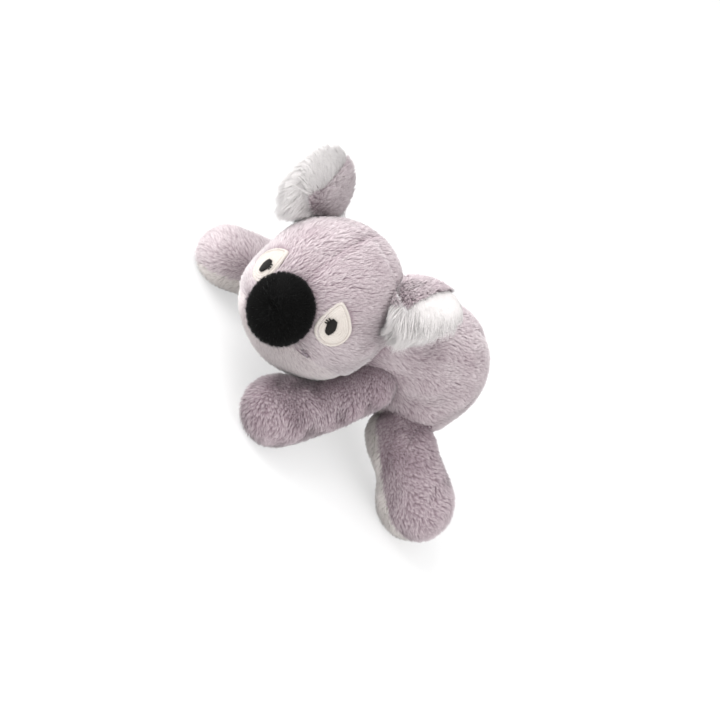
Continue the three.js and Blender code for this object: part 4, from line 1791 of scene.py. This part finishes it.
@dataclass
class Ear:
    """An ear, a flat cup on a rolled root: lilac behind and long white pile in front."""

    name: str
    side: int
    stand: float
    head: Head
    white_edge: Triple
    white_from: float
    # Paleness of the long white pile and of the lilac back: painted shade on the near ear and painted light
    # on the far one.
    white_painted_light: float
    tone: float
    flow: float
    flare: float
    fall: Triple
    taper: float
    taper_from: float
    trim: tuple[float, float]
    trim_share: float
    front: Pile = WHITE
    sweep: Triple = (0.0, 0.0, 0.0)
    folded: Pile = WHITE_FOLD
    fold: Triple = (-0.9, 0.6, 0.6)
    fold_share: float = 1.0
    root_reach: float = 0.0
    radius: float = 10.6
    half_thickness: float = 3.3
    root_radius: float = 2.4
    gap: float = 0.45
    lean: float = 13.0
    twist: float = 12.0
    rim_facing: float = -0.35
    rim_width: float = 1.2
    rim_search: float = 3.0
    front_rounds: int = 8
    longest: float = 1.2

    def matrix(self) -> Matrix:
        """Gives the ear's place and turn."""
        shares = self.head.ear_shares
        towards = unit(np.array([shares[0] * self.side, shares[1], shares[2]]))
        at = self.head.surface(towards[None])[0] + towards * (self.gap + self.root_radius)
        droop = (math.pi / 2 - math.radians(self.stand)) * self.side
        turns = (
            Matrix.Rotation(droop, 4, "Y") @ Matrix.Rotation(-math.radians(self.lean), 4, "X")
            @ Matrix.Rotation(math.radians(self.twist) * self.side, 4, "Z")
        )
        return self.head.matrix() @ Matrix.Translation(at) @ turns

    def form(self) -> SoftForm:
        """Makes the ear's stuffed form."""
        shape = globe(around=56, along=40)
        bmesh.ops.scale(shape, vec=(self.half_thickness, self.radius, self.radius), verts=shape.verts)
        bmesh.ops.translate(shape, vec=(0, 0, self.radius - self.root_radius / 2), verts=shape.verts)
        bmesh.ops.transform(shape, matrix=self.matrix(), verts=shape.verts)
        return SoftForm(self.name, shape)

    def make(self, form: SoftForm, neighbours: list[SoftForm], seed: int) -> None:
        """Makes the ear's two halves.

        Args:
            form: The ear's form.
            neighbours: The forms that its pile keeps clear of.
            seed: The seed of its random draws.
        """
        matrix = self.matrix()
        root = np.array(matrix.translation)
        turn = np.array(matrix.to_3x3())
        middle = root + turn @ np.array([0, 0, self.radius - self.root_radius / 2])
        edge = turn @ np.array(self.white_edge)

        def whitened(places: np.ndarray) -> np.ndarray:
            """Picks the part of the back over which the long pile folds."""
            return (places - middle) @ edge > self.white_from

        back = Brushing(
            Comb.FROM_EAR_ROOT, turn @ np.array([0, 0, self.flow]), origin=root, neighbours=neighbours,
        )
        ahead = turn @ np.array([self.side, 0.0, 0.0])
        trim = turn @ np.array([0.0, self.trim[0], self.trim[1]])

        def trimmed(places: np.ndarray) -> np.ndarray:
            """Gives the share of its length that the long pile keeps at each place."""
            across = (places - middle) @ trim / self.radius
            return 1 - self.trim_share * smoothstep((across + 1) / 2)

        def hidden(places: np.ndarray, facing: np.ndarray) -> np.ndarray:
            """Picks the front's faces that lie against the ear's back."""
            near = form.gap(places, self.rim_search) < self.rim_width
            return (facing @ ahead < self.rim_facing) & near

        over = turn @ np.array([0.0, self.fold[0], self.fold[1]])
        fold = Brushing(
            Comb.FROM_EAR_ROOT, over, origin=root, neighbours=neighbours,
            fall=ahead * self.fold[2] + self.fold_share * np.array(self.fall), trim=trimmed,
        )
        front = Brushing(
            Comb.FROM_EAR_ROOT, ahead * self.flare + np.array(self.sweep), origin=middle,
            neighbours=neighbours, fall=np.array(self.fall), trim=trimmed,
        )

        def drawn(places: np.ndarray) -> np.ndarray:
            """Draws the front in towards the ear's tip, where its long pile lies flat."""
            out = (places - root) @ turn[:, 2] / (2 * self.radius)
            share = smoothstep((out - self.taper_from) / (1 - self.taper_from))
            depth = np.maximum((places - middle) @ ahead, 0.0)
            return places - ahead * (depth * self.taper * share)[:, None]

        def rooted(places: np.ndarray) -> np.ndarray:
            """Picks the part of the front next to the ear's root."""
            return np.linalg.norm(places - root, axis=1) < self.root_reach

        def lit(places: np.ndarray) -> np.ndarray:
            """Gives how much paler the long pile is: painted shade on the near ear and painted light on the
            far one.
            """
            return np.full(len(places), self.white_painted_light)

        # The lilac back takes the ear's tone: painted shade on the near ear, painted light on the far one.
        lilac = Growth(
            "pile", "lilac_plush", EAR_LILAC, back, seed, lambda places: ~whitened(places),
            lambda places: np.full(len(places), self.tone),
        )
        folded = Growth("long_pile", "white_long_pile", self.folded, fold, seed + 1, whitened, lit)
        growths = [
            Growth(
                "long_pile", "white_long_pile", self.front, front, seed + 2,
                lambda places: ~rooted(places), lit,
            ),
        ]
        if self.root_reach:
            growths.append(Growth("root_pile", "lilac_plush", EAR_LILAC, back, seed + 3, rooted))
        Panel(
            f"{self.name}_back", self.name, "lilac_plush", form, LILAC_CLOTH, [lilac, folded],
            longest=self.longest,
        ).make()
        Panel(
            f"{self.name}_front", self.name, "white_long_pile", form, WHITE_CLOTH, growths,
            longest=self.longest, rounds=self.front_rounds, inner=hidden, drawn=drawn,
        ).make()


@dataclass(frozen=True)
class Lamp:
    """A soft square lamp that faces the toy, with its distance and side in millimetres."""

    name: str
    towards: Triple
    distance: float
    size: float
    energy: float

    def make(self) -> None:
        """Makes the lamp."""
        data = bpy.data.lights.new(self.name, "AREA")
        data.size = self.size * METRES
        data.energy = self.energy
        lamp = bpy.data.objects.new(self.name, data)
        direction = Vector(self.towards).normalized()
        turned = direction.to_track_quat("Z", "Y").to_matrix().to_4x4()
        lamp.matrix_world = Matrix.Translation(direction * self.distance * METRES) @ turned
        bpy.context.scene.collection.objects.link(lamp)


@dataclass
class Studio:
    """A pale floor, soft lamps and the camera."""

    WHITE = (1, 1, 1, 1)

    aim: Triple = (-6.0, -20.9, 36.4)
    right: Triple = (0.234, 0.649, 0.724)
    up: Triple = (-0.790, -0.306, 0.531)
    back: Triple = (0.566, -0.696, 0.442)
    distance: float = 600.0
    lens: float = 91.5
    sensor: float = 36.0
    clip: tuple[float, float] = (0.01, 50.0)
    shift: tuple[float, float] = (40 / 720, -63 / 720)
    lamps: tuple[Lamp, ...] = (
        Lamp("key_lamp", (-0.55, -0.6, 0.65), 900, 800, 8.5),
        Lamp("fill_lamp", (0.9, 0.1, 0.5), 1000, 900, 3.0),
        Lamp("front_lamp", (0.25, -0.95, 0.2), 1000, 800, 3.5),
    )
    floor_size: float = 6000.0
    floor_colour: str = "#F4F4F4"
    floor_glow: float = 0.55
    world_level: float = 0.95

    def camera(self) -> None:
        """Makes the camera at the photograph's viewing angle."""
        data = bpy.data.cameras.new("camera")
        data.lens = self.lens
        data.sensor_width = self.sensor
        data.shift_x, data.shift_y = self.shift
        data.clip_start, data.clip_end = self.clip
        camera = bpy.data.objects.new("camera", data)
        place = Vector(self.aim) + self.distance * Vector(self.back)
        turned = Matrix((self.right, self.up, self.back)).transposed().to_4x4()
        camera.matrix_world = Matrix.Translation(place * METRES) @ turned
        bpy.context.scene.collection.objects.link(camera)
        bpy.context.scene.camera = camera

    def backdrop(self) -> None:
        """Makes the world, which shows white and lights the toy."""
        world = bpy.data.worlds.new("studio")
        bpy.context.scene.world = world
        world.use_nodes = True
        tree = world.node_tree
        tree.nodes.clear()
        rays = add(tree, "ShaderNodeLightPath")
        seen = add(
            tree, "ShaderNodeMath",
            {0: rays.outputs["Is Camera Ray"], 1: rays.outputs["Is Glossy Ray"]},
            operation="MAXIMUM",
        )
        both = add(
            tree, "ShaderNodeMath",
            {0: seen.outputs["Value"], 1: rays.outputs["Is Transmission Ray"]},
            operation="MAXIMUM",
        )
        dim = add(tree, "ShaderNodeBackground", {"Color": self.WHITE, "Strength": self.world_level})
        white = add(tree, "ShaderNodeBackground", {"Color": self.WHITE, "Strength": 1.0})
        mixed = add(
            tree, "ShaderNodeMixShader",
            {0: both.outputs["Value"], 1: dim.outputs["Background"], 2: white.outputs["Background"]},
        )
        add(tree, "ShaderNodeOutputWorld", {"Surface": mixed.outputs["Shader"]})

    def ground(self) -> None:
        """Makes the floor, which shows nearly white and keeps the toy's shadow."""
        shape = bmesh.new()
        bmesh.ops.create_grid(shape, x_segments=1, y_segments=1, size=self.floor_size / 2)
        paper = bpy.data.materials.new("matt_white_paper")
        paper.use_nodes = True
        tree = paper.node_tree
        tree.nodes.clear()
        rays = add(tree, "ShaderNodeLightPath")
        lit = add(tree, "ShaderNodeBsdfDiffuse", {"Color": linear(self.floor_colour)})
        glow = add(tree, "ShaderNodeEmission", {"Color": self.WHITE, "Strength": 1.0})
        share = add(
            tree, "ShaderNodeMath",
            {0: rays.outputs["Is Camera Ray"], 1: self.floor_glow},
            operation="MULTIPLY",
        )
        mixed = add(
            tree, "ShaderNodeMixShader",
            {0: share.outputs["Value"], 1: lit.outputs["BSDF"], 2: glow.outputs["Emission"]},
        )
        add(tree, "ShaderNodeOutputMaterial", {"Surface": mixed.outputs["Shader"]})
        floor = make_piece("floor", shape, paper, False)

    def make(self) -> None:
        """Sets up the camera, the lamps, the world and the floor."""
        self.camera()
        for lamp in self.lamps:
            lamp.make()
        self.backdrop()
        self.ground()
        bpy.context.scene.view_settings.view_transform = "Standard"


def plan_arms(torso: Torso) -> list[Limb]:
    """Gives the left and the right arm."""
    return [
        # The near left arm takes the shaded pile, the far right arm the plain one with more paleness towards
        # its paw: painted shade and painted light.
        Limb(
            "left_arm", 1, torso.shoulder(1, 7.5), root_radius=9.0, bow=(1.2, 0, -3.0), middle_radius=9.2,
            end=(23.3, -23.6, 0), end_radius=10.4, pile=LIMB_LILAC, root_painted_light=0.05, paw_painted_light=0.25,
        ),
        Limb(
            "right_arm", -1, torso.shoulder(-1, 8.7), root_radius=9.0, bow=(-3.9, 0, -3.0), middle_radius=9.2,
            end=(-40.3, -26.5, 0), end_radius=9.6, root_painted_light=0.1, paw_painted_light=0.35,
        ),
    ]


def plan_leg(torso: Torso, name: str, side: int, folds: tuple[Fold, ...]) -> Limb:
    """Gives a leg.

    Args:
        torso: The body that it hangs from.
        name: Its name.
        side: 1 for the left and -1 for the right.
        folds: The creases in it.

    Returns:
        The leg.
    """
    shin = Swell((33.4 * side, 28.0, 6.4), -1.5, 6.5)
    thigh = Swell((21.5 * side, 24.0, 13.5), 1.0, 6.0)
    # The leg takes the shaded pile and grows much paler towards the paw: painted shade, and painted light on
    # the lit foot.
    return Limb(
        name, side, torso.hip(side, torso.haunch_swell), root_radius=10.0, bow=(-2.0 * side, -4.0, 2.5),
        middle_radius=10.3, end=(42.1 * side, 39.5, 0), end_radius=12.2, swells=(shin, thigh), folds=folds,
        pile=LIMB_LILAC, root_painted_light=0.12, paw_painted_light=0.85, fall=(0.35, 0.8, 0.1),
        pale_side=(-0.234 * side, -0.649, -0.724),
    )


def plan_ears(head: Head) -> list[Ear]:
    """Gives the left and the right ear."""
    return [
        # The near left ear is darker and the far right ear paler, in the long pile and the lilac back:
        # painted shade and painted light.
        Ear(
            "left_ear", 1, 10, head, white_edge=(0.0, -0.38, 0.92), white_from=-0.3, white_painted_light=-0.27,
            front=WHITE_LONG, flare=0.3, sweep=(1.0, -0.3, -1.75), fall=(0.16, -0.05, -0.28), root_reach=9.8,
            tone=-0.2, flow=0.4, taper=0.65, taper_from=0.4, trim=(0.0, 1.0), trim_share=0.6,
        ),
        Ear(
            "right_ear", -1, 62, head, white_edge=(0.0, -0.75, 0.66), white_from=3.6, white_painted_light=0.5,
            flare=0.35, fall=(0.22, 0.02, -0.28), folded=WHITE_SHORT_FOLD, fold=(-1.0, 0.9, 0.5),
            fold_share=0.0, tone=0.15, flow=0.25, taper=0.6, taper_from=0.0, trim=(0.8, 0.6), trim_share=0.35,
        ),
    ]


def main() -> None:
    """Builds the toy and its studio."""
    logging.basicConfig(level=logging.INFO, format="%(message)s")
    Studio().make()
    torso, head = Torso(), Head()
    hip_folds = (
        Fold((26.3, 20.8, 22.3), (27.9, 24.4, 26.7), 0.8, 1.1),
        Fold((27.9, 24.4, 26.7), (25.6, 31.5, 28.7), 0.8, 1.1),
    )
    left_leg = plan_leg(torso, "left_leg", 1, hip_folds)
    limbs = [*plan_arms(torso), left_leg, plan_leg(torso, "right_leg", -1, ())]
    ears = plan_ears(head)
    body_form, head_form, nose_form = torso.form(), head.form(), head.nose_form()
    limb_forms = [limb.form() for limb in limbs]
    ear_forms = [ear.form() for ear in ears]
    stuffing = Stuffing()
    stuffing.puff(body_form, ["body_left_panel", "body_right_panel", "belly_panel"])
    stuffing.puff(head_form, ["head_left_panel", "head_right_panel", "head_back_panel", "chin_panel"])
    for limb, form in zip(limbs, limb_forms):
        stuffing.puff(form, [f"{limb.name}_outer_panel", f"{limb.name}_inner_panel"])
    left_leg_form = limb_forms[limbs.index(left_leg)]
    for form, folds in ((body_form, torso.folds), (left_leg_form, left_leg.folds)):
        for fold in folds:
            fold.press(form)
    torso.make(body_form, [head_form, *limb_forms])
    head.make(head_form, nose_form, [body_form])
    for number, (limb, form) in enumerate(zip(limbs, limb_forms)):
        limb.make(form, [body_form, head_form], seed=41 + 10 * number)
    for number, (ear, form) in enumerate(zip(ears, ear_forms)):
        ear.make(form, [head_form], seed=81 + 10 * number)
    HandStitches((27.0, 21.6, 23.4), (25.4, 31.8, 28.7)).make("left_hip_stitches", "left_leg", left_leg_form)
    finish_rigid()


if __name__ == "__main__":
    main()
